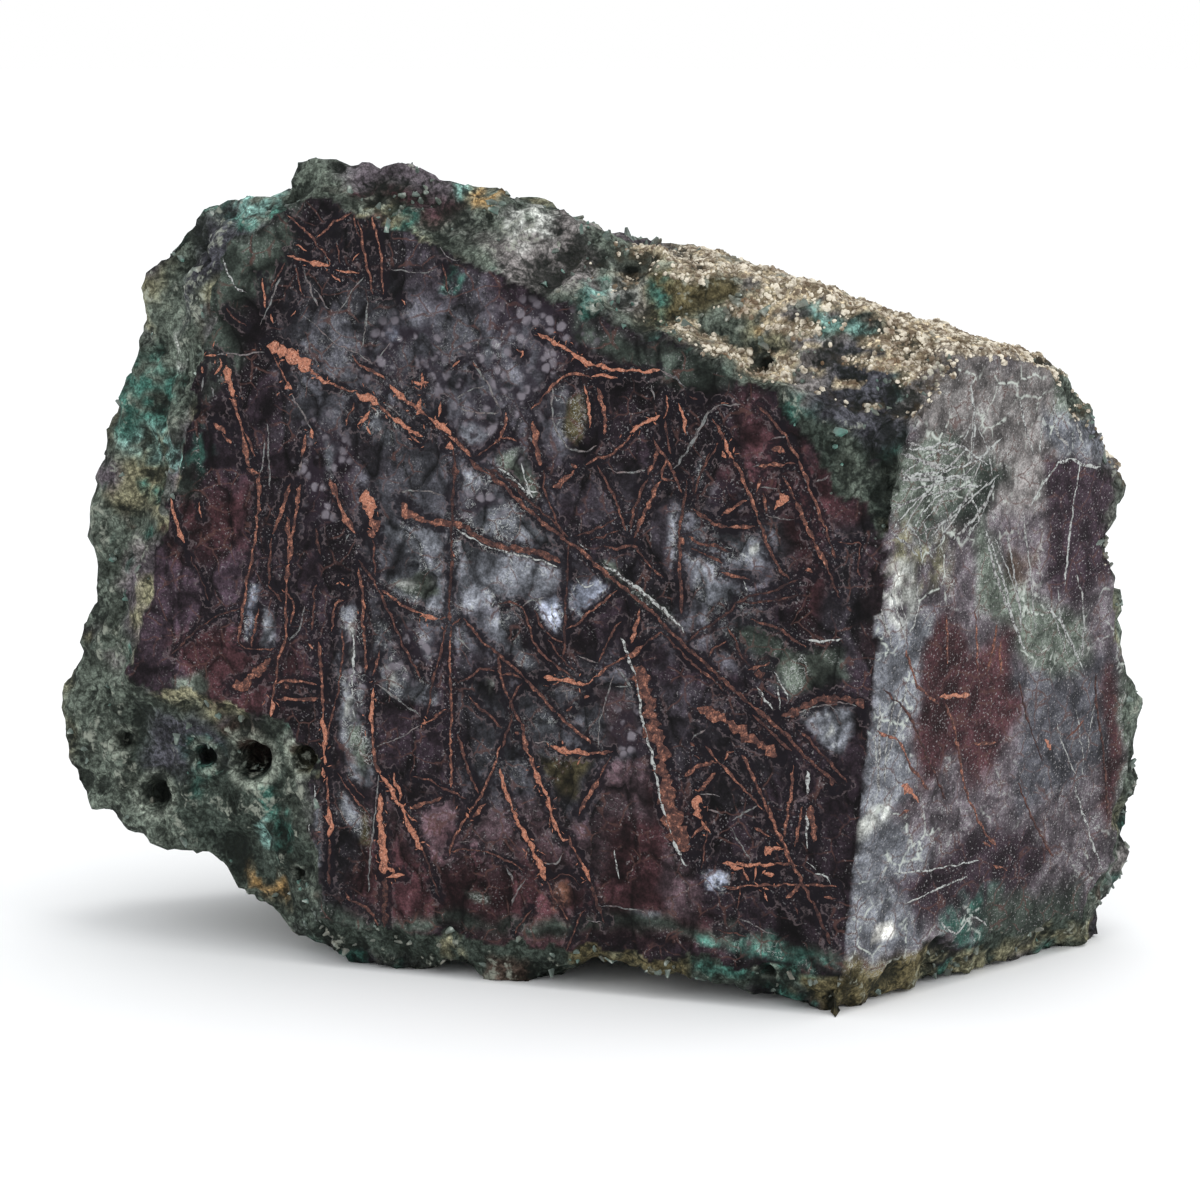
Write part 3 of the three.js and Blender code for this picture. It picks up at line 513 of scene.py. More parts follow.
    ("bright", 0.4, [(-38, 71.4), (-37.2, 70.8), (-37.6, 70.4)]),
    ("copper", 0.3, [(-36.3, 64.8), (-35.2, 65.7), (-34.4, 66.9), (-33.2, 68.2), (-32, 68.9),
                     (-30.4, 68.9), (-29.2, 68.4)]),
    ("copper", 0.5, [(-28.6, 67.4), (-28, 65.8), (-27.7, 64), (-27.8, 62.4)]),
    ("pale", 0.22, [(-33.8, 67.6), (-34, 65.4), (-33.8, 63.4), (-32.8, 61.6), (-31.4, 60.5),
                    (-29.8, 60.4), (-28.6, 61.2)]),
    ("bright", 0.4, [(-30.1, 67.6), (-29.8, 66), (-29.3, 64.4), (-29.6, 62.9)]),
    ("copper", 0.65, [(-36.1, 63.5), (-35.9, 61.8), (-35.5, 60.2), (-35, 58.6)]),
    ("copper", 0.45, [(-39.1, 64.4), (-39.3, 63), (-39.8, 61.6), (-40.7, 60.7)]),
    ("copper", 0.36, [(-39.8, 61.5), (-38.9, 61.5), (-38.1, 61.2)]),
    ("brown", 0.2, [(-40.6, 60.8), (-41.8, 59.8), (-42.8, 59.3)]),
    ("pale", 0.26, [(-43.3, 70), (-42.4, 68.8), (-41.4, 67.4), (-40.4, 65.8), (-39.8, 64.5)]),
    ("copper", 0.32, [(-43.2, 69.8), (-42.4, 68.8)]),
    ("pale", 0.18, [(-45, 65.8), (-43.6, 66.6), (-41.7, 67.2)]),
    ("pale", 0.18, [(-44.6, 64.6), (-42.4, 64.1), (-40, 64.3)]),
    ("copper", 0.28, [(-29.9, 59), (-28.4, 59.8), (-27.2, 60), (-25.8, 61.2), (-24.8, 62.5)]),
    ("bright", 0.5, [(-24.8, 62.6), (-23.8, 63.6), (-22.6, 64.2), (-21.4, 64.6)]),
    ("bright", 0.32, [(-20.8, 67), (-20.6, 65.2), (-20.9, 64.4)]),
    ("brown", 0.3, [(-20.9, 64.4), (-20.6, 62.4), (-20.2, 60.6)]),
    ("bright", 0.36, [(-19.3, 66.1), (-18.8, 64.6), (-18.4, 62.6)]),
    ("pale", 0.22, [(-22.5, 68), (-22, 66.4)]),
    ("copper", 0.45, [(-18.2, 66.9), (-17.2, 66.6)]),
    ("brown", 0.3, [(-28.5, 59), (-27.3, 57), (-26.2, 55.1), (-25.6, 53.4), (-25.2, 52)]),
    ("pale", 0.22, [(-27.6, 58.7), (-26, 58.4), (-24.3, 58.3), (-22.9, 58.8)]),
    ("copper", 0.45, [(-21.6, 61.2), (-22, 59.6), (-22.6, 58.2)]),
    ("brown", 0.36, [(-22.7, 58), (-23.5, 56.4), (-24, 54.8), (-24.4, 53.2), (-24.8, 51.8)]),
    ("copper", 0.5, [(-21.2, 57.6), (-22, 56), (-23, 54.2), (-23.7, 52.6), (-24.1, 51.2)]),
    ("brown", 0.3, [(-22.2, 62.3), (-21.1, 60.6), (-20.2, 59.2), (-19.5, 57.8), (-18.8, 56.3)]),
    ("copper", 0.34, [(-20.7, 60.2), (-20.9, 58.8), (-21.3, 57.7), (-19.8, 57.7)]),
    ("copper", 0.34, [(-20.6, 60), (-19.8, 58.6)]),
    ("pale", 0.24, [(-16, 65.4), (-17, 63), (-18.3, 61), (-19.8, 58.9)]),
    ("brown", 0.2, [(-15.6, 61), (-16.6, 59), (-17.4, 56.2)]),
    ("brown", 0.34, [(-18.3, 57.8), (-18.6, 55.4), (-18.9, 53), (-18.9, 50.4), (-18.9, 48),
                     (-18.6, 45.6), (-18.5, 43.2)]),
    ("copper", 0.6, [(-18.8, 51.6), (-18.4, 50.8)]),
    ("copper", 0.6, [(-19.1, 48.2), (-18.8, 47)]),
    ("copper", 0.7, [(-33.6, 56.4), (-32.2, 57.2), (-31.2, 58.4)]),
    ("copper", 0.7, [(-31.6, 58.9), (-30.6, 58.8)]),
    ("brown", 0.24, [(-34.8, 58.2), (-34.6, 56), (-33.8, 54), (-32.8, 52), (-32.1, 50.8)]),
    ("brown", 0.3, [(-30.9, 51), (-29.2, 51.7), (-27.6, 52.3), (-26.3, 53.2)]),
    ("brown", 0.22, [(-29.2, 50.8), (-27.6, 51.3), (-26, 52)]),
    ("brown", 0.3, [(-27.6, 50.3), (-26.2, 49.8), (-24.8, 50.4), (-23.8, 50.2), (-23, 49),
                    (-22, 48.1), (-20.6, 47)]),
    # the long diagonal band
    ("brown", 0.45, [(-43.4, 59.1), (-42, 57.8), (-40, 56.8), (-38, 55.1), (-36, 53.4),
                     (-34.2, 51.9), (-32.4, 50.9), (-31, 50), (-29.4, 48.9), (-27.6, 47.3),
                     (-26, 46.2), (-24.2, 44.9), (-22.2, 43.5), (-20.6, 41.9), (-18.9, 40.3),
                     (-17.4, 39), (-16, 38.1), (-14.4, 36.9), (-12.5, 35.4), (-11, 34.1),
                     (-9, 32.7), (-7.5, 31.6), (-6, 30.3), (-4.5, 28.9), (-3.2, 27.7),
                     (-1.9, 26.7), (-0.6, 25.8)]),
    ("maroon", 0.4, [(-41.6, 58.2), (-39.6, 57.4), (-37.4, 55.6), (-35.4, 54), (-33.4, 52.4),
                     (-31.8, 51)]),
    ("copper", 0.4, [(-30.6, 49.9), (-28.8, 48.2), (-26.8, 46.7)]),
    ("brown", 0.3, [(-20.8, 41.2), (-19.6, 40.2), (-18, 38.6), (-16.4, 37.2), (-14.5, 36.1),
                    (-13.6, 34.9)]),
    ("brown", 0.34, [(-10.2, 32.6), (-8.6, 31.3), (-7.1, 30.1), (-5.8, 29)]),
    ("brown", 0.3, [(-5, 31.3), (-3.5, 30), (-2, 28.6), (-0.8, 27.3), (0.5, 26)]),
    ("maroon", 0.32, [(-31.8, 50.2), (-31.7, 47.5), (-31.9, 44), (-32, 40.8), (-32.1, 37)]),
    # veins right of the middle, upper
    ("brown", 0.34, [(-15.5, 64.6), (-14.6, 63.2), (-14, 62.2)]),
    ("bright", 0.5, [(-14.1, 62.6), (-13.7, 61.3), (-13, 60.3)]),
    ("bright", 0.75, [(-14.2, 61.1), (-13.9, 60.4)]),
    ("copper", 0.4, [(-13.1, 60.4), (-12.2, 58.8), (-11.5, 57.2), (-10.8, 55.7), (-10.2, 54.2)]),
    ("brown", 0.34, [(-10.2, 54.2), (-9.5, 52.3), (-8.8, 50.6), (-7.8, 49), (-6.5, 47.7)]),
    ("brown", 0.24, [(-9.8, 53.4), (-9.2, 51.4), (-8.2, 49.8)]),
    ("pale", 0.2, [(-18, 61.2), (-17.3, 62.6), (-16.7, 64.1), (-15.8, 65.4), (-14.8, 66.2),
                   (-13.6, 66.1), (-12.3, 66.2)]),
    ("copper", 0.3, [(-14.6, 66.3), (-13.7, 66.2)]),
    ("brown", 0.2, [(-14.8, 61.7), (-16, 60.1), (-16.8, 58.4), (-17.3, 56.4)]),
    ("brown", 0.32, [(-10.6, 66.2), (-8.9, 65), (-7.7, 63.4), (-6.5, 61.8), (-5.8, 60.4)]),
    ("copper", 0.5, [(-5.8, 60.5), (-5.1, 59), (-4.7, 57.8)]),
    ("copper", 0.36, [(-4.8, 58), (-4.1, 56.3), (-3.4, 54.9), (-2.6, 53.4)]),
    ("brown", 0.3, [(-2.7, 53.6), (-2, 51.6), (-1.4, 50)]),
    ("brown", 0.3, [(-7.5, 58.7), (-6.6, 57.2), (-5.9, 55.9)]),
    ("copper", 0.55, [(-6, 56.1), (-5.2, 54.6), (-4.5, 53.2), (-3.9, 51.9)]),
    ("copper", 0.5, [(-3.9, 52), (-3, 50.2), (-2.1, 48.8)]),
    ("brown", 0.34, [(-2.2, 48.9), (-1.5, 47.4), (-0.9, 46)]),
    ("copper", 0.5, [(-10.2, 59.7), (-8.5, 60), (-7.2, 60.1)]),
    ("pale", 0.22, [(-10.9, 59.6), (-10, 59.7)]),
    ("brown", 0.22, [(-7.4, 60.1), (-6, 60.1)]),
    ("pale", 0.16, [(-8.9, 62.6), (-7.9, 62.9), (-7, 63.1)]),
    ("copper", 0.8, [(-8.8, 61.5), (-7.3, 61.3)]),
    ("copper", 0.3, [(-10.5, 57), (-9.8, 58.5)]),
    ("copper", 0.36, [(-9.7, 56.9), (-9.4, 55.4), (-9.3, 54.6)]),
    ("pale", 0.16, [(-10, 57.4), (-7.9, 57.4)]),
    ("bright", 1.1, [(-8.3, 55.2), (-7.4, 56), (-6.8, 56.6)]),
    ("pale", 0.18, [(-9.3, 54.5), (-7.6, 54), (-6, 54.2)]),
    ("copper", 0.5, [(-14.2, 54.3), (-13, 55.2), (-11.6, 55.9)]),
    ("brown", 0.44, [(-17.8, 54.8), (-16.5, 54.2), (-14.8, 53), (-13.4, 52.9)]),
    ("copper", 0.44, [(-13.5, 52.9), (-12, 53.1), (-10.5, 53.2)]),
    ("brown", 0.4, [(-18, 51.7), (-16.5, 50.9), (-15, 50.9), (-13.2, 50.2)]),
    ("brown", 0.32, [(-17.6, 50.5), (-15.8, 49.8), (-14, 49)]),
    ("copper", 0.42, [(-14.2, 48), (-12.5, 47.7), (-10.8, 47.5)]),
    ("pale", 0.22, [(-4, 58.1), (-2.6, 59), (-1.2, 59.5)]),
    ("maroon", 0.28, [(-18, 40), (-16.8, 41.3), (-15, 42.3), (-13, 43.9), (-11.9, 45.1),
                      (-10.4, 45.8), (-8.6, 46.1), (-7, 46.9), (-5.4, 47.7)]),
    ("maroon", 0.26, [(-11.5, 45), (-9.5, 45), (-7.4, 45.4), (-5.5, 46.1)]),
    ("copper", 0.8, [(-4.8, 48.8), (-4, 48.5)]),
    ("brown", 0.18, [(-1.3, 52), (0, 51.7), (1.2, 52.3), (1.2, 50.6), (1, 49), (1.6, 48)]),
    ("brown", 0.26, [(-13.4, 42.2), (-12.4, 40.7), (-11.8, 39.3), (-11, 38.3)]),
    ("brown", 0.36, [(-10.8, 43), (-9, 42.8), (-7.5, 42.2), (-6, 41.2), (-4.5, 40.4)]),
    ("brown", 0.2, [(-15.4, 38.6), (-14.8, 39.8), (-13.4, 40.5)]),
    ("copper", 0.6, [(-10.9, 37.5), (-9.8, 37.8), (-8.5, 38.5)]),
    ("brown", 1, [(-10.2, 37.2), (-9, 37.4)]),
    ("brown", 1, [(-7, 32.8), (-5.6, 33.4), (-3.8, 34.3), (-2, 34.9), (-0.4, 35.1)]),
    ("brown", 0.8, [(-0.6, 35.1), (1, 35), (2.2, 34.3), (2.6, 33.2)]),
    ("pale", 0.2, [(-6.6, 32.7), (-5.2, 33.2), (-3.8, 33.9), (-2, 34.3), (0, 34.7), (1.4, 34.4)]),
    ("copper", 1.3, [(-16.5, 33), (-15.4, 32.6), (-14.2, 32), (-12.8, 31.7)]),
    ("copper", 1.2, [(-13.2, 31.7), (-11.6, 30.9), (-10.2, 30.2), (-8.8, 29.2), (-7.4, 28.3)]),
    ("pale", 0.2, [(-17.2, 29.4), (-16.5, 30.1), (-15.5, 30.7)]),
    ("copper", 0.7, [(-17.3, 29.1), (-16.8, 28.7)]),
    ("copper", 0.7, [(-16.8, 27.7), (-16.2, 27.3)]),
    ("copper", 0.3, [(-15.6, 28.9), (-14.3, 27.4), (-13, 26.5), (-12, 25.3), (-11, 24.3),
                     (-9.6, 23.1), (-8.6, 22.1)]),
    ("copper", 0.5, [(-17.9, 25.3), (-16.6, 26.4), (-15.2, 27), (-14, 27.1)]),
    ("copper", 0.42, [(-13.4, 27.4), (-13, 28.2), (-12.2, 28.5)]),
    ("copper", 0.5, [(-14.3, 26), (-15.3, 25), (-16.2, 23.6)]),
    ("pale", 0.2, [(-15.9, 23.5), (-13.9, 23.4)]),
    ("pale", 0.22, [(-15, 21.7), (-13.3, 21.4)]),
    ("bright", 1, [(-16.2, 23.4), (-16.4, 22), (-15.9, 20.8)]),
    ("bright", 0.5, [(-15.8, 20.6), (-14.8, 19.3)]),
    ("copper", 0.4, [(-16.8, 18.6), (-16, 19.6), (-15.2, 20.4)]),
    ("brown", 0.2, [(-15, 20), (-15.4, 17.6), (-15.6, 15.2)]),
    ("copper", 0.42, [(-11.3, 28.2), (-10.5, 27), (-9.7, 25.3), (-9, 23.7), (-8.2, 22)]),
    ("copper", 0.4, [(-5.5, 27.5), (-5.6, 25.5), (-5.9, 23.5), (-6.2, 21.2), (-6.4, 19.6)]),
    ("copper", 0.36, [(-4.5, 23), (-4.8, 20.6), (-5.2, 18.6)]),
    ("copper", 1, [(-1.4, 26.2), (-1, 25.5)]),
    ("copper", 0.7, [(-3.5, 23.2), (-3.2, 21.2), (-3, 19.2)]),
    # veins of the middle, lower
    ("pale", 0.2, [(-45, 39.3), (-43.9, 38.6), (-43, 37.7)]),
    ("brown", 0.34, [(-44, 41.3), (-42.4, 39.6), (-41, 38.2), (-39.4, 37.3), (-38, 36.3),
                     (-36.5, 34.8), (-35, 33.6), (-34, 32.3), (-32.8, 31.3)]),
    ("copper", 0.36, [(-32.8, 31.3), (-31.4, 30.2), (-30, 29.3), (-28.7, 28.2)]),
    ("brown", 0.26, [(-40, 43.1), (-38, 43.4), (-36.8, 43), (-36.3, 41), (-35.5, 38.9),
                     (-34.5, 37.6), (-33, 36.6), (-31.8, 35.9), (-30.8, 35.3)]),
    ("pale", 0.26, [(-37, 42.9), (-36, 43.8), (-34.4, 44.1)]),
    ("brown", 0.26, [(-35.6, 42.6), (-34.8, 41), (-33.8, 40), (-33, 39.4), (-32, 39.2)]),
    ("brown", 0.2, [(-34, 39.6), (-33, 38.4), (-32.3, 37.3), (-30.6, 36.2)]),
    ("copper", 0.26, [(-32, 40.6), (-30.5, 41.5), (-29, 42.8), (-27.3, 44.3), (-26, 45.3)]),
    ("bright", 0.55, [(-34.5, 35.2), (-33.2, 35.1), (-31.6, 35), (-30.2, 34.8), (-29.2, 34.8)]),
    ("copper", 0.34, [(-29.2, 34.8), (-28.4, 35.6), (-27.2, 36.7), (-25.6, 37.8), (-24.6, 38.3)]),
    ("copper", 0.55, [(-24.9, 38.2), (-23.9, 38.7), (-22.9, 39.4)]),
    ("brown", 0.36, [(-23, 39.4), (-22, 40.3), (-20.8, 41.2)]),
    ("pale", 0.22, [(-32.6, 33.9), (-31, 34)]),
    ("pale", 0.24, [(-31.6, 33.9), (-31.4, 32.5)]),
    ("copper", 0.5, [(-31.7, 31.6), (-31, 32.2)]),
    ("copper", 0.8, [(-29.5, 33.3), (-29, 33.5)]),
    ("brown", 0.24, [(-28, 37.2), (-27.3, 39), (-26.5, 40.6), (-25.5, 42)]),
    ("pale", 0.18, [(-30.3, 37.8), (-29, 37.4), (-28, 37.2)]),
    ("copper", 0.45, [(-23.4, 43.5), (-23.7, 41.6), (-24.2, 39.6)]),
    ("pale", 0.28, [(-26, 37), (-25, 35.8), (-24, 34.7)]),
    ("pale", 0.16, [(-26.2, 36), (-27, 33.5), (-27.6, 31.4), (-27.9, 29.2), (-27.8, 27.8)]),
    ("pale", 0.16, [(-26, 34.7), (-24.4, 34.8)]),
    ("pale", 0.22, [(-35.5, 27.9), (-34.2, 28), (-33.2, 27.7)]),
    ("bright", 0.55, [(-33.4, 27.7), (-32, 27.2), (-30.4, 27.1), (-28.8, 27.1)]),
    ("copper", 0.34, [(-29, 27.1), (-27.6, 27.3), (-26.2, 27.4)]),
    ("copper", 0.3, [(-26.3, 27), (-27.1, 25.6), (-27.6, 24.4)]),
    ("copper", 0.45, [(-27.6, 24.4), (-28.4, 23.1), (-29.3, 21.6), (-30, 20.1)]),
    ("brown", 0.36, [(-39.8, 37.5), (-39.5, 35.5), (-38.8, 33.1), (-37.8, 31.3), (-36.9, 29.8)]),
    ("copper", 0.5, [(-36.9, 30), (-36.6, 28.4), (-36, 26.4), (-35.2, 24.7)]),
    ("bright", 0.8, [(-35.3, 24.8), (-34.8, 23.8), (-34.2, 22.6)]),
    ("bright", 0.5, [(-34.2, 22.8), (-33.6, 21.2), (-33, 19.4), (-32.5, 18.1)]),
    ("bright", 0.7, [(-32.9, 18.6), (-32.4, 18)]),
    ("bright", 0.4, [(-32.4, 17.9), (-32.1, 17.2), (-31.2, 17.2)]),
    ("brown", 0.28, [(-38, 31), (-38.5, 29), (-39.3, 27)]),
    ("copper", 0.32, [(-39.3, 27.2), (-40, 25), (-40.8, 23), (-41.8, 21.2), (-43, 19.3)]),
    ("bright", 0.75, [(-43.4, 19.3), (-43, 18.8)]),
    ("copper", 0.3, [(-43.1, 19), (-44, 17.6), (-44.9, 16), (-45.4, 14.2)]),
    ("copper", 0.55, [(-41, 20.5), (-41.8, 19.7), (-42.5, 19)]),
    ("bright", 0.45, [(-39.4, 24.8), (-39, 22.8), (-38.3, 21.2), (-37.7, 19.8)]),
    ("bright", 0.6, [(-37.8, 20), (-36.9, 18.4), (-35.9, 16.8), (-35.2, 15.4)]),
    ("bright", 0.8, [(-35.3, 15.5), (-34.7, 14.4), (-34.1, 13.3), (-33.7, 12.4)]),
    ("brown", 0.24, [(-33.7, 12.4), (-33, 11), (-32.2, 9.8), (-31, 8)]),
    ("copper", 0.7, [(-37.6, 28.9), (-37.1, 28.7)]),
    ("brown", 0.32, [(-43.2, 32.5), (-41.6, 31.1), (-40.2, 30.1), (-39, 29.3)]),
    ("brown", 0.22, [(-36.9, 34.4), (-37.8, 33.2), (-38.3, 31.6)]),
    ("brown", 0.32, [(-44.5, 28.3), (-43.6, 25.6), (-42.8, 23.4), (-41.9, 21.6)]),
    ("brown", 0.26, [(-39.2, 35.2), (-38, 35.4), (-36.8, 34.9)]),
    ("brown", 0.22, [(-44.6, 34), (-43.1, 34.6), (-41.8, 35.8), (-40.2, 35.6)]),
    ("copper", 0.3, [(-31.3, 17.7), (-30.3, 16), (-29.5, 14.6)]),
    ("bright", 0.65, [(-29.6, 14.7), (-29, 13.6), (-28.5, 12.6)]),
    ("maroon", 0.45, [(-28.5, 12.6), (-28, 11), (-27.4, 9.6), (-26.7, 8.2)]),
    ("pale", 0.2, [(-44.2, 15.8), (-42.4, 16)]),
    ("brown", 0.22, [(-45, 14.8), (-43, 15.2), (-41, 15.1), (-39.4, 14.6), (-38, 14.2),
                     (-36.3, 13.3)]),
    ("pale", 0.34, [(-38.4, 13.4), (-38, 12.6), (-37.5, 11.7)]),
    ("pale", 0.28, [(-36.2, 12.4), (-37, 11), (-37.8, 9.2)]),
    ("pale", 0.26, [(-34, 14.4), (-32.7, 14.1), (-32.4, 14.6), (-31.9, 15.4)]),
    ("brown", 0.2, [(-35.4, 9), (-36.5, 7.6), (-37.3, 6)]),
    ("brown", 0.16, [(-33.3, 12.3), (-32.2, 13.3), (-30.6, 13.3), (-29.8, 12.3)]),
    ("pale", 0.16, [(-27.3, 10), (-24.6, 10.1), (-22, 9.8)]),
    ("brown", 0.2, [(-29, 9.6), (-30, 8), (-30.4, 6.2), (-31.2, 4.6)]),
    ("pale", 0.16, [(-29, 8.3), (-27, 8.2)]),
    # the thick brown band
    ("thick", 1.9, [(-24, 37.2), (-23, 36), (-22.4, 34.4), (-22, 32.6), (-21.6, 30.8),
                    (-21, 29), (-20.5, 27), (-20.1, 25), (-19.7, 23), (-19.3, 21.2),
                    (-18.7, 19.6), (-18, 18.2), (-17.4, 17)]),
    # veins of the lower right
    ("copper", 0.4, [(-8.4, 22.9), (-7.6, 21), (-6.7, 19.3), (-6, 17.8), (-5.2, 16.3),
                     (-4.5, 15), (-3.7, 13.7), (-3, 12.5)]),
    ("bright", 0.6, [(-6.5, 19), (-6.1, 18.2)]),
    ("maroon", 0.4, [(-3.1, 12.7), (-2.3, 11.1), (-1.5, 9.5), (-0.8, 8)]),
    ("pale", 0.28, [(-9.3, 22.8), (-10.6, 22), (-12.3, 20.8)]),
    ("pale", 0.26, [(-12.4, 20), (-11.5, 18.7), (-10.7, 17.3), (-10, 16.4)]),
    ("bright", 0.4, [(-13.3, 16), (-12, 16.1), (-10.2, 16.1), (-8.8, 16.3), (-7.2, 16.5)]),
    ("copper", 0.28, [(-7.4, 16.5), (-6, 16.6), (-4.8, 16.4)]),
    ("bright", 1, [(-8.4, 17.2), (-8.2, 18), (-7.5, 18.1)]),
    ("bright", 0.4, [(-7.8, 18.1), (-6.6, 18.3)]),
    ("bright", 0.6, [(-12.5, 15.9), (-11.6, 15.5), (-10.9, 15.8)]),
    ("bright", 0.42, [(-11, 15.8), (-10.6, 15), (-10.2, 14.3)]),
    ("bright", 0.42, [(-9.3, 15.9), (-9.6, 14.5)]),
    ("bright", 0.75, [(-8.5, 15.3), (-7.4, 15.2)]),
    ("copper", 0.26, [(-13.5, 13.3), (-11.5, 13.6), (-9, 13.9), (-6.5, 14.2), (-4, 14.4)]),
    ("copper", 0.3, [(-4.2, 14.4), (-2.4, 14.5), (-0.4, 14.6)]),
    ("bright", 0.55, [(-8.6, 13.8), (-7.9, 13.6)]),
    ("bright", 0.34, [(-8.5, 13.4), (-8, 12.2)]),
    ("copper", 0.5, [(-4.3, 14.5), (-5.1, 13.5), (-6, 12.7)]),
    ("copper", 0.5, [(-1.7, 13.2), (-0.5, 13.3)]),
    ("brown", 0.2, [(-11.2, 13.8), (-11.4, 11.2)]),
    ("pale", 0.16, [(-11.5, 10.1), (-10, 9.7), (-8.8, 9), (-7, 8.5)]),
    ("brown", 0.16, [(-13.8, 8.5), (-12, 8.3), (-10.3, 8.2)]),
    ("copper", 0.45, [(-4.9, 11.8), (-4.7, 11.1)]),
    ("copper", 0.36, [(-9.8, 20.4), (-8.8, 19.8), (-7.8, 19.3)]),
]

SIDE_VEINS = [
    ("copper", 0.35, [(8, 40), (9, 38), (10, 36), (12, 34.4), (14, 33)]),
    ("copper", 0.35, [(14.4, 43), (14.7, 40), (15, 37.5)]),
    ("copper", 0.3, [(19, 43), (19.6, 39.6), (20, 36)]),
    ("copper", 0.5, [(23, 41), (22.4, 38), (21.5, 35.5)]),
    ("copper", 0.3, [(23.5, 39), (24, 35)]),
    ("copper", 0.35, [(4, 31.5), (6, 30.6), (8, 30), (9, 28), (10, 26.5), (11.6, 25), (13, 23.5)]),
    ("bright", 0.5, [(14, 34), (16.4, 33.8), (19, 33.5)]),
    ("copper", 0.35, [(15, 33), (16.5, 30.5), (17.5, 28), (18.5, 24), (20, 21), (22, 18), (25, 15)]),
    ("bright", 0.9, [(8.6, 24.8), (9.6, 24.2), (10.5, 23.5)]),
    ("bright", 0.7, [(10.2, 23.6), (11.5, 22.5)]),
    ("copper", 0.5, [(8.5, 21.5), (10, 21.7)]),
    ("copper", 0.35, [(20, 27.8), (22, 27.5), (24, 27.3)]),
    ("bright", 0.8, [(32.2, 26.5), (33.3, 25)]),
    ("maroon", 0.45, [(40.5, 33), (41, 29), (42.5, 25), (43.5, 20), (44.3, 15.5)]),
    ("copper", 0.35, [(36, 26), (39, 27.7)]),
    ("copper", 0.35, [(22.5, 16), (24, 15.3)]),
    ("copper", 0.35, [(24.5, 13), (27, 12)]),
    ("maroon", 0.3, [(27, 34), (29, 29), (32, 24)]),
    ("maroon", 0.3, [(5, 36), (9, 33), (12, 28), (16, 22)]),
    ("brown", 0.3, [(28, 22), (31, 17), (35, 12)]),
    ("white", 0.30, [(16.4, 68.4), (17.4, 64), (17.3, 61)]),
    ("white", 0.30, [(0, 58), (3, 58.6), (6, 59), (12, 59), (18, 59.5), (22, 62)]),
    ("white", 0.30, [(2, 63), (8, 61.6), (14, 62.4), (20, 59)]),
    ("white", 0.24, [(3, 57), (9, 61), (15, 61.6)]),
    ("white", 0.24, [(5, 53.4), (10, 57.4), (16, 59), (19, 53)]),
    ("white", 0.24, [(8, 53), (12, 57), (19, 57)]),
    ("white", 0.24, [(24.5, 66), (26, 62), (27.5, 59.5)]),
    ("white", 0.24, [(28.5, 64), (28.5, 59.5)]),
    ("white", 0.36, [(27.5, 54), (30, 57), (33, 59), (36, 57.5), (42, 57)]),
    ("white", 0.36, [(20, 52), (23, 47), (25, 42), (28, 37)]),
    ("white", 0.30, [(31, 42), (34, 40), (38, 34)]),
    ("white", 0.30, [(35.5, 58), (34.5, 52), (34, 44)]),
    ("white", 0.24, [(8, 15), (14, 14.2), (22, 14)]),
    ("white", 0.24, [(10, 11), (20, 12.5)]),
    ("white", 0.24, [(16, 8), (19, 5.4), (21, 8), (24, 6)]),
    ("white", 0.30, [(38, 20), (41, 14), (44, 9)]),
]

# Sprays of pale threads on the sawn side: where they meet, the two ends of their far side, and
# how many there are.
SPRAYS = [
    ((19, 58), (2, 64), (3, 55), 8),
    ((22, 61), (6, 53), (17, 51), 7),
    ((17, 66), (15, 60), (20, 58), 3),
    ((30, 38), (20, 50), (26, 53), 4),
    ((38, 33), (31, 43), (36, 45), 3),
    ((29, 66), (33, 60), (38, 60), 3),
    ((12, 48), (3, 54), (13, 54), 4),
    ((8, 40), (3, 47), (9, 47), 4),
    ((5, 24), (2, 34), (9, 36), 4),
    ((40, 20), (33, 28), (41, 30), 3),
]

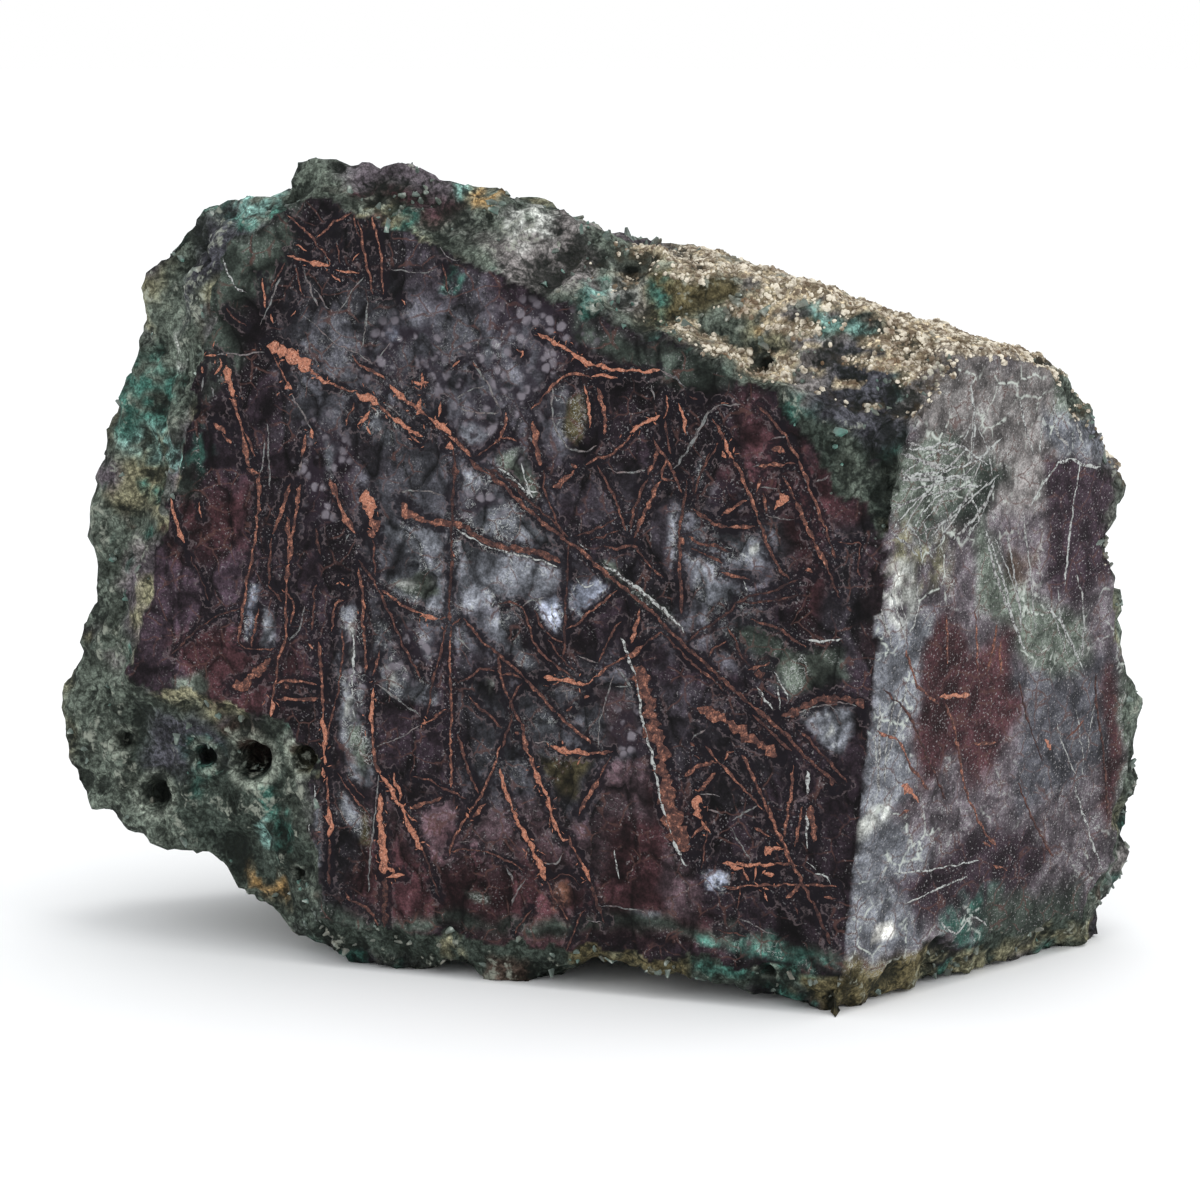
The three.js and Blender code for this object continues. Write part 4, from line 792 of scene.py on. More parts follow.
# Bright white threads of quartz on the polished face.
WHITE_THREADS = [
    (0.24, [(-73.7, 81.5), (-73.3, 79.8), (-72.5, 78.2), (-71.8, 77), (-70.5, 76.7)]),
    (0.22, [(-45, 51.2), (-42.5, 50), (-41, 49.3), (-38.5, 48.8), (-35.5, 48.4),
            (-33, 47.6)]),
    (0.34, [(-25.5, 40.3), (-24.6, 38.2), (-23.8, 36.2), (-23.2, 34), (-23, 32),
            (-22.4, 30), (-21.8, 28), (-21.3, 26), (-20.8, 24), (-20.4, 22),
            (-19.7, 20), (-19, 18.2), (-18.2, 16.5), (-17.4, 15.5)]),
    (0.4, [(-27.5, 48), (-26, 47.2), (-24, 46), (-22, 44.8), (-20.5, 43.5),
           (-18.8, 42), (-18.2, 41)]),
    (0.22, [(-36, 55), (-37.2, 56.3), (-38.5, 57.5), (-40, 58.2)]),
    (0.2, [(-36, 55), (-37, 57.4), (-37.5, 59)]),
    (0.2, [(-38, 56.4), (-36.6, 55.6), (-35.2, 55.8)]),
    (0.24, [(-30.5, 50.2), (-29.5, 49.6)]),
    (0.24, [(-4.5, 41.2), (-3, 41.1), (-1.5, 41.2), (-0.4, 41.5)]),
    (0.24, [(-8, 37.6), (-6.5, 35.4), (-6.2, 34.5)]),
    (0.24, [(-7.5, 36), (-7.3, 34.5), (-7.1, 33.3)]),
    (0.32, [(-9.8, 35.6), (-8.5, 34), (-8, 33.3)]),
    (0.5, [(-4, 27), (-3.7, 25.6), (-3.8, 24.3)]),
    (0.3, [(-4, 22.4), (-3.8, 20.4), (-3.8, 18.4)]),
    (0.24, [(-2.8, 15.6), (-2, 15.8), (-1.3, 15.4), (-1, 14.7)]),
    (0.24, [(-3.8, 17), (-2.7, 16.2)]),
    (0.2, [(-61.8, 21), (-61.7, 19.3), (-62.3, 17.8), (-62.5, 15.5), (-62.5, 13)]),
    (0.16, [(-25.9, 16.4), (-25.5, 14.8), (-25.2, 13.2)]),
    (0.2, [(-30.7, 46.4), (-29.6, 45.4), (-28.6, 46)]),
    (0.2, [(-33.6, 43.4), (-33.3, 41.6), (-33, 40.4)]),
    (0.24, [(-11.6, 47.2), (-11.1, 46)]),
    (0.3, [(-57.4, 39.4), (-57, 36.6), (-57.2, 34.2), (-57.4, 31.8), (-57, 29.2)]),
]

# ---- Driving sizes --------------------------------------------------------------------------

VOXEL = 0.85  # of the stone's first mesh
FLAT_SNAP = 0.7  # a point this near a cut face is put on it
RIM_DROP = 0.35  # how far the broken rim starts below the polished face
RIM_SLOPE = 0.42
RIM_WANDER = 1.7  # how far the rim's line strays from its outline
RIM_LIMIT = 2.4
CORNER_CHIP = 0.9  # how far chips reach from the sharp corner
HALO_REACH = 2.4  # how far a vein darkens the stone beside it
STEP = 0.33  # between the points of a vein
SEED = 11
SKIN_GAP = 0.12  # a vein is laid only this near the stone's skin
FINER_DEPTH = 0.4  # how far behind the polished face the skin is made finer
VEIN_ROOT = 0.3  # how far a vein reaches down into the stone
BATCH = 150  # grains or crystals made at a time


class SpecimenSettings(bpy.types.PropertyGroup):
    """Sizes and finishes that a user would change"""

    roughness: bpy.props.FloatProperty(
        name="Rind Roughness",
        description="Height of the chips and grains on the broken surfaces",
        default=1.35,
        min=0.0,
        max=3.0,
    )
    polish: bpy.props.FloatProperty(
        name="Polish",
        description="Roughness of the polished face's shine",
        default=0.3,
        subtype="FACTOR",
    )
    vein_height: bpy.props.FloatProperty(
        name="Vein Height",
        description="How far a vein stands out of its face",
        default=0.05 * MM,
        unit="LENGTH",
    )
    fresh_copper: bpy.props.FloatVectorProperty(
        name="Fresh Copper",
        description="Colour of clean copper",
        default=(0.44, 0.172, 0.105),
        size=3,
        subtype="COLOR",
    )
    dull_copper: bpy.props.FloatVectorProperty(
        name="Dull Copper",
        description="Colour of copper gone brown",
        default=(0.100, 0.043, 0.034),
        size=3,
        subtype="COLOR",
    )
    crust_grains: bpy.props.IntProperty(
        name="Crust Grains",
        description="Number of sandy grains on top of the stone",
        default=9600,
        min=0,
    )
    rim_crystals: bpy.props.IntProperty(
        name="Rim Crystals",
        description="Number of small crystals on the broken rim",
        default=2400,
        min=0,
    )


def settings():
    return bpy.context.scene.specimen


# ---- Sums on points -------------------------------------------------------------------------


def on_face(points):
    """Across, up and depth behind the polished face, in mm, of points in mm."""
    away = points - CORNER
    return np.stack([away @ ACROSS, away @ UP_FACE, away @ DEPTH], axis=1)


def on_side(points):
    """Along, up and depth behind the sawn side, in mm."""
    away = points - CORNER
    return np.stack([away @ ALONG, away @ UP_SIDE, -(away @ SIDE_NORMAL)], axis=1)


def step_between(low, high, value):
    """0 below low, 1 above high, and smooth between them."""
    part = np.clip((value - low) / (high - low), 0.0, 1.0)
    return part * part * (3 - 2 * part)


def route_distance(points, route):
    """How far each flat point is from the nearest stretch of a route."""
    nearest = np.full(len(points), 1e6)
    for start, end in zip(route[:-1], route[1:]):
        start = np.array(start)
        run = np.array(end) - start
        part = np.clip((points - start) @ run / (run @ run), 0, 1)
        gap = points - start - part[:, None] * run
        nearest = np.minimum(nearest, np.hypot(gap[:, 0], gap[:, 1]))
    return nearest


def inside(points, outline):
    """Distance in from an outline, and minus outside it."""
    edge = route_distance(points, list(outline) + [outline[0]])
    crossings = np.zeros(len(points), bool)
    for (x0, y0), (x1, y1) in zip(outline, list(outline[1:]) + [outline[0]]):
        if y0 == y1:
            continue
        spans = (points[:, 1] > y0) != (points[:, 1] > y1)
        at = x0 + (points[:, 1] - y0) * (x1 - x0) / (y1 - y0)
        crossings ^= spans & (points[:, 0] < at)
    return np.where(crossings, edge, -edge)


def wander(points, size, seed=0):
    """A smooth vector of noise for each point, its lumps about size mm across."""
    shift = Vector((seed * 7.3, seed * 3.1, seed * 1.7))
    return np.array([noise.noise_vector(Vector(p) / size + shift) for p in points])


def lumps(points, size, seed=0):
    """Noise in octaves from -1 to 1."""
    shift = Vector((seed * 5.1, seed * 2.3, seed * 9.7))
    return np.array([noise.fractal(Vector(p) / size + shift, 0.9, 2.1, 3) for p in points])


def chips(points, size, seed=0):
    """Scoops like broken glass: 0 at a scoop's middle and 1 at the ridges between scoops."""
    shift = Vector((seed * 4.7, seed * 8.9, seed * 6.1))
    return np.array([noise.voronoi(Vector(p) / size + shift)[0][0] for p in points])


# ---- Meshes ---------------------------------------------------------------------------------


def points_of(mesh):
    flat = np.empty(len(mesh.vertices) * 3)
    mesh.vertices.foreach_get("co", flat)
    return flat.reshape(-1, 3)


def normals_of(mesh):
    flat = np.empty(len(mesh.vertices) * 3)
    mesh.vertices.foreach_get("normal", flat)
    return flat.reshape(-1, 3)


def set_points(mesh, points):
    mesh.vertices.foreach_set("co", np.ascontiguousarray(points).ravel())
    mesh.update()


def add_value(mesh, name, values):
    layer = mesh.attributes.new(name, "FLOAT", "POINT")
    layer.data.foreach_set("value", np.ascontiguousarray(values, dtype=np.float32))


def add_colour(mesh, name, colours):
    layer = mesh.attributes.new(name, "FLOAT_COLOR", "POINT")
    alpha = np.ones((len(colours), 1))
    layer.data.foreach_set("color", np.hstack([colours, alpha]).astype(np.float32).ravel())


def show(mesh, name, material):
    """A finished piece: an object at the origin that stays with the stone."""
    piece = bpy.data.objects.new(name, mesh)
    bpy.context.scene.collection.objects.link(piece)
    mesh.materials.append(material)
    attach(piece, "root")
    return piece


def mesh_from(form, name, smooth=False):
    mesh = bpy.data.meshes.new(name)
    form.to_mesh(mesh)
    form.free()
    if smooth:
        mesh.shade_smooth()
    return mesh


def even_skin(source):
    """The stone as one even skin of small faces."""
    form = bmesh.new()
    form.from_mesh(source.data)
    bmesh.ops.remove_doubles(form, verts=form.verts[:], dist=0.01 * MM)
    rough = bpy.data.objects.new("rough_block", mesh_from(form, "rough_block"))
    bpy.context.scene.collection.objects.link(rough)
    remesh = rough.modifiers.new("Even", "REMESH")
    remesh.mode = "VOXEL"
    remesh.voxel_size = VOXEL * MM
    graph = bpy.context.evaluated_depsgraph_get()
    skin = bpy.data.meshes.new_from_object(rough.evaluated_get(graph))
    bpy.data.objects.remove(rough)
    return skin


def snap_flats(points):
    """Puts points near the two cut faces onto them, so their shared corner is sharp again."""
    for _ in range(3):
        for place, normal in ((on_face, DEPTH), (on_side, -SIDE_NORMAL)):
            depth = place(points)[:, 2]
            near = depth < FLAT_SNAP
            points[near] -= depth[near, None] * normal
    return points


def finer_face(mesh):
    """Quarters the faces of the polished face, where the pattern is finest."""
    form = bmesh.new()
    form.from_mesh(mesh)
    middles = np.array([face.calc_center_median() for face in form.faces]) / MM
    place = on_face(middles)
    wanted = place[:, 2] < FINER_DEPTH
    form.faces.ensure_lookup_table()
    edges = dict.fromkeys(edge for at in np.flatnonzero(wanted) for edge in form.faces[at].edges)
    bmesh.ops.subdivide_edges(form, edges=list(edges), cuts=1, use_grid_fill=True)
    form.to_mesh(mesh)
    form.free()


def rim_depth(place, wobble, outline):
    """How far the broken rim falls away behind a cut face, before any chips."""
    out = -inside(place[:, :2] + wobble[:, :2] * RIM_WANDER, outline)
    drop = RIM_DROP + RIM_SLOPE * np.clip(out, 0, None)
    near = 1 - step_between(1.5, 5.0, place[:, 2])
    drop = np.minimum(drop, RIM_LIMIT) * step_between(-0.15, 0.35, out) * near
    return drop, out


def chipped_corner(place, side, wobble):
    """Small chips off the sharp corner between the two cut faces."""
    away = np.hypot(place[:, 2], side[:, 2])
    reach = (1 - step_between(0.0, CORNER_CHIP, away)) * np.clip(0.25 + wobble[:, 2] * 0.9, 0, 0.8)
    return (DEPTH - SIDE_NORMAL) * (reach * 0.7)[:, None]


def hole_depth(place):
    depth = np.zeros(len(place))
    for across, up, radius, deep in HOLES:
        gap = np.hypot(place[:, 0] - across, place[:, 1] - up)
        depth += deep * (1 - step_between(radius * 0.45, radius * 1.1, gap)) * (place[:, 2] < 6)
    return depth


def hole_shade_and_rims(place, wobble):
    """How much painted shade darkens the stone inside the holes, and how pale it is on their rims."""
    dark = np.zeros(len(place))
    pale = np.zeros(len(place))
    for across, up, radius, _ in HOLES:
        away = np.hypot(place[:, 0] - across, place[:, 1] - up) / radius + wobble[:, 2] * 0.25
        # painted shade inside each hole, deepest at its middle
        dark = np.maximum(dark, 1 - step_between(0.7, 1.05, away))
        pale = np.maximum(pale, step_between(0.95, 1.15, away) * (1 - step_between(1.3, 1.7, away)))
    return dark[:, None], pale[:, None] * 0.7


def chip_heights(points, flat):
    """How far the broken surfaces stand in or out, in mm: hollows, ridges and grains."""
    broken = ~flat
    some = points[broken] + wander(points[broken], 5.0, 7) * 1.6
    hollow = (chips(some, 7.0) - 0.5) * 1.5 + (chips(some, 2.8, 1) - 0.45) * 1.1
    grain = lumps(some, 1.7, 2) * 0.32
    heights = np.zeros(len(points))
    heights[broken] = (hollow + grain) * settings().roughness
    return heights


def shape_stone():
    mesh = even_skin(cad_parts["stone"])
    set_points(mesh, snap_flats(points_of(mesh) / MM) * MM)
    finer_face(mesh)
    points = points_of(mesh) / MM
    normals = normals_of(mesh)
    place = on_face(points)
    side = on_side(points)
    wobble = wander(points, 3.2) * 0.8 + wander(points, 1.1, 1) * 0.35
    drop, out = rim_depth(place, wobble, POLISHED)
    side_drop, side_out = rim_depth(side, wobble, SAWN)
    polished = (place[:, 2] < 0.1) & (out <= 0)
    sawn = (side[:, 2] < 0.1) & ~polished & (side_out <= 0)
    flat_edge = np.where(place[:, 2] < 0.1, out, np.where(side[:, 2] < 0.1, side_out, 9.0))
    heights = chip_heights(points, polished | sawn)
    heights *= step_between(0.0, 1.2, flat_edge) * ~(polished | sawn)
    points = points + normals * heights[:, None]
    points += DEPTH * ((drop + hole_depth(place)) * (~sawn & (side[:, 2] > 0.1)))[:, None]
    points -= SIDE_NORMAL * (side_drop * (~polished & (place[:, 2] > 0.1)))[:, None]
    points += chipped_corner(place, side, wobble)
    points[:, 2] = np.maximum(points[:, 2], 0.0)
    set_points(mesh, points * MM)
    colour_stone(mesh, place, side, wobble, polished, sawn, out)
    add_value(mesh, "ridge", step_between(-0.9, 1.1, heights / settings().roughness))
    mesh.shade_smooth()
    return mesh


# ---- Where the colours lie ------------------------------------------------------------------


def paint(ground, flat, patches, wander_far, where):
    """Lays soft-edged patches of tone over the ground, in order."""
    wobble, drift, speckle = wander_far
    for tone, soft, outline in patches:
        xs = [x for x, _ in outline]
        ys = [y for _, y in outline]
        reach = soft * 1.6 + 5.0
        near = where & (flat[:, 0] > min(xs) - reach) & (flat[:, 0] < max(xs) + reach)
        near &= (flat[:, 1] > min(ys) - reach) & (flat[:, 1] < max(ys) + reach)
        if not near.any():
            continue
        ragged = min(1.8, 0.3 + soft * 0.5)
        pushed = flat[near] + wobble[near, :2] * ragged + drift[near, :2] * min(1.0, soft / 3)
        depth = inside(pushed, outline) + wobble[near, 2] * soft * 0.45
        cover = step_between(-soft * 0.5, soft * 0.6, depth)
        if tone in BROKEN_UP:
            cover *= step_between(-0.35, 0.25, speckle[near])
        cover = cover[:, None]
        ground[near] = ground[near] * (1 - cover) + np.array(TONES[tone]) * cover
    return ground


def closeness(flat, veins, where):
    """1 beside a vein, falling to 0 at the halo's reach."""
    near = np.full(len(flat), HALO_REACH)
    for tone, width, route in veins:
        if tone in ("pale", "white"):
            continue
        route = np.array(route)
        low = route.min(axis=0) - HALO_REACH
        high = route.max(axis=0) + HALO_REACH
        some = where & (flat > low).all(axis=1) & (flat < high).all(axis=1)
        if some.any():
            gap = np.clip(route_distance(flat[some], route) - width / 2, 0, HALO_REACH)
            near[some] = np.minimum(near[some], gap)
    return 1 - near / HALO_REACH


def spotted(flat, wobble):
    cover = np.zeros(len(flat))
    for across, up, wide, high in SPOTTED:
        away = np.hypot((flat[:, 0] - across) / wide, (flat[:, 1] - up) / high)
        cover = np.maximum(cover, 1 - step_between(0.55, 1.15, away + wobble[:, 2] * 0.3))
    return cover


BROKEN_UP = {"mint", "teal", "ochre", "straw", "milk"}  # tones that never lie in a clean patch


def colour_stone(mesh, place, side, wobble, polished, sawn, out):
    points = points_of(mesh) / MM
    up_facing = normals_of(mesh)[:, 2]
    drift = lumps(points, 9.0, 4)
    patchy = lumps(points, 4.0, 6)
    ground = np.tile(np.array(TONES["sage"]), (len(points), 1)) * (0.75 + 0.5 * patchy[:, None])
    broad = lumps(points, 24.0, 9)
    for tone, low, high, field in (
        ("moss", 0.0, 0.5, drift),
        ("stone", 0.15, 0.5, -drift),
        ("smoke", 0.05, 0.35, broad),
        ("dusk", 0.15, 0.45, -broad),
        ("straw", 0.25, 0.6, drift - broad),
        ("teal", 0.35, 0.7, patchy + broad * 0.4),
        ("umber", 0.4, 0.7, -patchy),
    ):
        cover = step_between(low, high, field)[:, None]
        ground = ground * (1 - cover) + np.array(TONES[tone]) * cover
    on_top = step_between(0.35, 0.75, up_facing + drift * 0.25)
    on_top *= step_between(0.5, 3.0, place[:, 2] + drift * 2) * (points[:, 2] > 45)
    on_top *= step_between(-30, -20, place[:, 0] + drift * 6)
    ground = ground * (1 - on_top[:, None]) + np.array(TONES["tan"]) * on_top[:, None]
    far = (wobble, wander(points, 7.0, 3) * 3.0, lumps(points, 1.8, 12))
    to_front = (place[:, 2] < 9) & ~polished & ~sawn & (on_top < 0.5)
    ground = paint(ground, place[:, :2], RIM_PATCHES, far, to_front)
    dark, pale = hole_shade_and_rims(place, wobble)
    ground = np.where(to_front[:, None], ground * (1 - pale) + np.array(HOLE_RIM) * pale, ground)
    # painted shade: the stone is darkened inside the holes
    ground = np.where(to_front[:, None], ground * (1 - dark * 0.9), ground)
    ground[polished] = TONES["night"]
    ground = paint(ground, place[:, :2], FACE_PATCHES, far, polished)
    ground[sawn] = TONES["dusk"]
    near_side = (side[:, 2] < 3) & ~polished & (side[:, 0] > -2)
    ground = paint(ground, side[:, :2], SIDE_PATCHES, far, sawn | near_side)
    halo = closeness(place[:, :2], FACE_VEINS, polished)
    halo = np.maximum(halo, closeness(side[:, :2], SIDE_VEINS, sawn) * 0.6)
    add_colour(mesh, "ground", np.clip(ground, 0.004, 1))
    add_value(mesh, "halo", halo * (polished | sawn))
    add_value(mesh, "spots", spotted(place[:, :2], wobble) * polished)
    add_value(mesh, "polished", polished * step_between(0, 0.6, -out))
    add_value(mesh, "sawn", sawn)
    add_value(mesh, "sandy", on_top)


# ---- Materials ------------------------------------------------------------------------------


class Finish:
    """A material's node tree, built up a node at a time."""

    def __init__(self, name):
        self.material = bpy.data.materials.new(name)
        self.material.use_nodes = True
        self.tree = self.material.node_tree
        self.shader = self.tree.nodes["Principled BSDF"]

    def node(self, kind, links=None, **values):
        made = self.tree.nodes.new(kind)
        for key, value in values.items():
            setattr(made, key, value)
        for socket, source in (links or {}).items():
            self.feed(made.inputs[socket], source)
        return made

    def feed(self, socket, source):
        if isinstance(source, bpy.types.NodeSocket):
            self.tree.links.new(source, socket)
        else:
            socket.default_value = source

    def value(self, name):
        return self.node("ShaderNodeAttribute", attribute_name=name).outputs["Fac"]

    def colour(self, name):
        return self.node("ShaderNodeAttribute", attribute_name=name).outputs["Color"]

    def math(self, operation, first, second=0.0, third=0.0):
        links = {0: first, 1: second, 2: third}
        return self.node("ShaderNodeMath", links, operation=operation).outputs[0]

    def ramp(self, value, low, high, start=0.0, end=1.0):
        links = {"Value": value, "From Min": low, "From Max": high, "To Min": start, "To Max": end}
        made = self.node("ShaderNodeMapRange", links, interpolation_type="SMOOTHSTEP")
        return made.outputs["Result"]

    def mix(self, factor, first, second, blend="MIX"):
        made = self.node("ShaderNodeMix", data_type="RGBA", blend_type=blend)
        self.feed(made.inputs[0], factor)
        self.feed(made.inputs[6], first)
        self.feed(made.inputs[7], second)
        return made.outputs[2]

    def place(self):
        """The piece's own coordinates, in mm."""
        at = self.node("ShaderNodeTexCoord").outputs["Object"]
        scaled = self.node("ShaderNodeVectorMath", {0: at, "Scale": 1 / MM}, operation="SCALE")
        return scaled.outputs[0]

    def noise(self, at, scale, detail=3.0, twist=0.0):
        links = {"Vector": at, "Scale": scale, "Detail": detail, "Distortion": twist}
        return self.node("ShaderNodeTexNoise", links).outputs["Fac"]

    def cells(self, at, scale, feature="F1"):
        links = {"Vector": at, "Scale": scale}
        return self.node("ShaderNodeTexVoronoi", links, feature=feature).outputs["Distance"]

    def shard(self, at, scale):
        """A level for each cell, the same all over it."""
        picked = self.node("ShaderNodeTexVoronoi", {"Vector": at, "Scale": scale}).outputs["Color"]
        return self.node("ShaderNodeSeparateColor", {0: picked}).outputs[0]

    def shaken(self, at, scale, amount):
        """Coordinates pushed about by noise, so straight cell walls wander."""
        links = {"Vector": at, "Scale": scale, "Detail": 2.0}
        push = self.node("ShaderNodeTexNoise", links).outputs["Color"]
        centred = self.node("ShaderNodeVectorMath", {0: push, 1: (0.5, 0.5, 0.5)},
                            operation="SUBTRACT").outputs[0]
        sized = self.node("ShaderNodeVectorMath", {0: centred, "Scale": amount},
                          operation="SCALE").outputs[0]
        return self.node("ShaderNodeVectorMath", {0: at, 1: sized}, operation="ADD").outputs[0]

    def bump(self, height, distance, strength=1.0):
        links = {"Height": height, "Distance": distance, "Strength": strength}
        return self.node("ShaderNodeBump", links).outputs["Normal"]

    def set(self, **values):
        for name, source in values.items():
            self.feed(self.shader.inputs[name.replace("_", " ")], source)


def grey(level):
    return (level, level, level, 1.0)


SPLINTER = (1.0, 1.0, 0.55)  # the smoky pieces are taller than they are wide


def stone_finish():
    """Dark veined chalcedony where it is cut, and a dusty green rind where it is broken."""
    m = Finish("veined_stone")
    at = m.place()
    shaken = m.shaken(at, 0.35, 2.2)
    polished = m.value("polished")
    sawn = m.value("sawn")
    cut = m.math("MAXIMUM", polished, sawn)
    sandy = m.value("sandy")
    colour = m.colour("ground")

    # it is lighter and darker in clouds, and again in fine grain
    cloud = m.noise(at, 0.32, 4.0, 0.6)
    fine = m.noise(at, 1.6, 6.0, 0.5)
    grain = m.noise(at, 4.5, 3.0)
    light = m.node("ShaderNodeRGBToBW", {0: colour}).outputs[0]
    shade = m.math("MULTIPLY", m.ramp(cloud, 0.3, 0.7, 0.4, 1.7), m.ramp(grain, 0.3, 0.7, 0.7, 1.35))
    rough = m.math("MULTIPLY", m.ramp(fine, 0.32, 0.68, 0.5, 1.65), m.math("SUBTRACT", 1.0, cut))

    # the polished face shows smoky splinters, each of its own darkness and black at its walls
    upright = m.node("ShaderNodeVectorMath", {0: at, 1: SPLINTER}, operation="MULTIPLY").outputs[0]
    broad = m.shaken(upright, 0.3, 3.2)
    smoky = m.ramp(m.cells(broad, 0.22, "DISTANCE_TO_EDGE"), 0.0, 0.12, 0.4, 1.2)
    smoky = m.math("MULTIPLY", smoky, m.ramp(m.shard(broad, 0.22), 0.0, 1.0, 0.4, 1.7))
    smoky = m.math("MULTIPLY", smoky, m.ramp(fine, 0.3, 0.7, 0.6, 1.4))

    # the sawn side is calmer, in large slabs
    slab = m.math("MULTIPLY", m.ramp(m.shard(broad, 0.07), 0.0, 1.0, 0.85, 1.25),
                  m.ramp(fine, 0.3, 0.7, 0.72, 1.3))
    face = m.math("ADD", m.math("MULTIPLY", smoky, polished), m.math("MULTIPLY", slab, sawn))
    shade = m.math("MULTIPLY", shade, m.math("ADD", rough, face))
    shade = m.node("ShaderNodeCombineColor", {0: shade, 1: shade, 2: shade}).outputs[0]
    colour = m.mix(1.0, colour, shade, "MULTIPLY")

    # hairline cracks, on the cut faces
    walls = m.cells(shaken, 0.36, "DISTANCE_TO_EDGE")
    hair = m.math("MULTIPLY", m.ramp(walls, 0.012, 0.05, 1.0, 0.0), m.ramp(cloud, 0.42, 0.58))
    hair = m.math("MULTIPLY", hair, m.math("MULTIPLY", cut, 0.7))
    colour = m.mix(hair, colour, (0.085, 0.042, 0.036, 1))

    # leopard spots
    spots = m.cells(m.shaken(at, 0.9, 0.8), 0.78)
    spotting = m.math("MULTIPLY", m.value("spots"), m.ramp(m.noise(at, 0.4, 2.0), 0.40, 0.55))
    colour = m.mix(m.math("MULTIPLY", spotting, 0.7), colour, (0.020, 0.014, 0.021, 1))
    pale_spot = m.math("MULTIPLY", m.ramp(spots, 0.26, 0.52, 1.0, 0.0), spotting)
    colour = m.mix(m.math("MULTIPLY", pale_spot, 0.85), colour, (0.200, 0.180, 0.205, 1))

    # beside each vein the stone is black, then has a thin pale edge
    gap = m.math("ADD", m.math("SUBTRACT", 1.0, m.value("halo")), m.ramp(fine, 0.3, 0.7, -0.14, 0.14))
    dark = m.ramp(gap, 0.06, 0.42, 0.84, 0.0)
    colour = m.mix(dark, colour, (0.008, 0.006, 0.009, 1))
    edge = m.math("MULTIPLY", m.ramp(gap, 0.20, 0.27), m.ramp(gap, 0.29, 0.37, 1.0, 0.0))
    edge = m.math("MULTIPLY", edge, m.ramp(m.noise(at, 0.55, 2.0), 0.42, 0.60))
    colour = m.mix(m.math("MULTIPLY", edge, 0.5), colour, (0.150, 0.115, 0.120, 1))

    # white scribbles where the stone is light
    curl = m.math("ABSOLUTE", m.math("SUBTRACT", m.noise(at, 1.15, 3.0, 1.2), 0.5))
    scribble = m.math("MULTIPLY", m.ramp(curl, 0.004, 0.020, 1.0, 0.0), m.ramp(cloud, 0.46, 0.58))
    scribble = m.math("MULTIPLY", scribble, m.math("MULTIPLY", m.ramp(light, 0.035, 0.09), cut))
    colour = m.mix(m.math("MULTIPLY", scribble, 0.75), colour, (0.50, 0.52, 0.50, 1))

    # pale lace between the broken pieces of the sawn side
    lace_walls = m.cells(m.shaken(at, 0.3, 3.0), 0.24, "DISTANCE_TO_EDGE")
    lace = m.math("MULTIPLY", m.ramp(lace_walls, 0.0, 0.055, 1.0, 0.0), m.ramp(light, 0.05, 0.10))
    lace = m.math("MULTIPLY", lace, m.ramp(fine, 0.42, 0.54))
    lace = m.math("MULTIPLY", lace, sawn)
    lace = m.math("MULTIPLY", lace, m.ramp(m.noise(at, 0.20, 3.0), 0.47, 0.60))
    colour = m.mix(m.math("MULTIPLY", lace, 0.9), colour, (0.52, 0.56, 0.51, 1))

    # light speckle of the saw and the dust
    speck = m.ramp(m.noise(at, 4.2, 2.0), 0.60, 0.70)
    dusty = m.math("MULTIPLY", polished, m.ramp(cloud, 0.40, 0.62, 0.0, 0.30))
    speck_amount = m.math("ADD", m.math("MULTIPLY", sawn, 0.42), dusty)
    colour = m.mix(m.math("MULTIPLY", speck, speck_amount), colour, (0.52, 0.50, 0.50, 1))

    # painted shade darkens the broken rind in its hollows, and a painted highlight lightens it along its
    # ridges
    broken = m.math("SUBTRACT", 1.0, cut)
    ridge = m.math("ADD", m.value("ridge"), m.ramp(fine, 0.3, 0.7, -0.13, 0.13))
    # painted shade in the rind's hollows
    hollow = m.math("MULTIPLY", m.ramp(ridge, 0.16, 0.52, 0.78, 0.0), broken)
    colour = m.mix(hollow, colour, (0.014, 0.017, 0.015, 1))
    # painted highlight along the rind's raised ridges
    painted_ridge_highlight = m.math("MULTIPLY", m.ramp(ridge, 0.74, 0.92), m.ramp(m.noise(at, 0.9, 4.0), 0.46, 0.60))
    painted_ridge_highlight = m.math("MULTIPLY", painted_ridge_highlight, m.math("MULTIPLY", broken, 0.75))
    colour = m.mix(painted_ridge_highlight, colour, (0.34, 0.36, 0.30, 1))
    druse = m.cells(m.shaken(at, 0.9, 0.8), 0.75, "DISTANCE_TO_EDGE")
    crack = m.math("MULTIPLY", m.ramp(druse, 0.0, 0.07, 1.0, 0.0), broken)
    colour = m.mix(m.math("MULTIPLY", crack, 0.5), colour, (0.014, 0.017, 0.012, 1))
    sand = m.ramp(m.noise(at, 1.1, 6.0), 0.36, 0.62)
    sand = m.math("MULTIPLY", sandy, m.ramp(sand, 0, 1, 0.5, 0.0))
    colour = m.mix(sand, colour, (0.13, 0.085, 0.045, 1))

    m.set(Base_Color=colour)
    m.set(Roughness=m.math("ADD", m.math("MULTIPLY", polished, settings().polish - 0.78),
                           m.math("ADD", m.math("MULTIPLY", sawn, -0.22), 0.78)))
    m.shader.inputs["Specular IOR Level"].default_value = 0.09
    relief = m.math("ADD", m.math("MULTIPLY", m.noise(at, 1.6, 5.0), broken),
                    m.math("MULTIPLY", m.ramp(druse, 0.0, 0.35), m.math("MULTIPLY", broken, 0.5)))
    scratches = m.math("MULTIPLY", m.noise(at, 5.0, 2.0), m.math("MULTIPLY", sawn, 0.12))
    relief = m.math("ADD", relief, scratches)
    m.set(Normal=m.bump(relief, 0.5 * MM, 0.8))
    return m.material


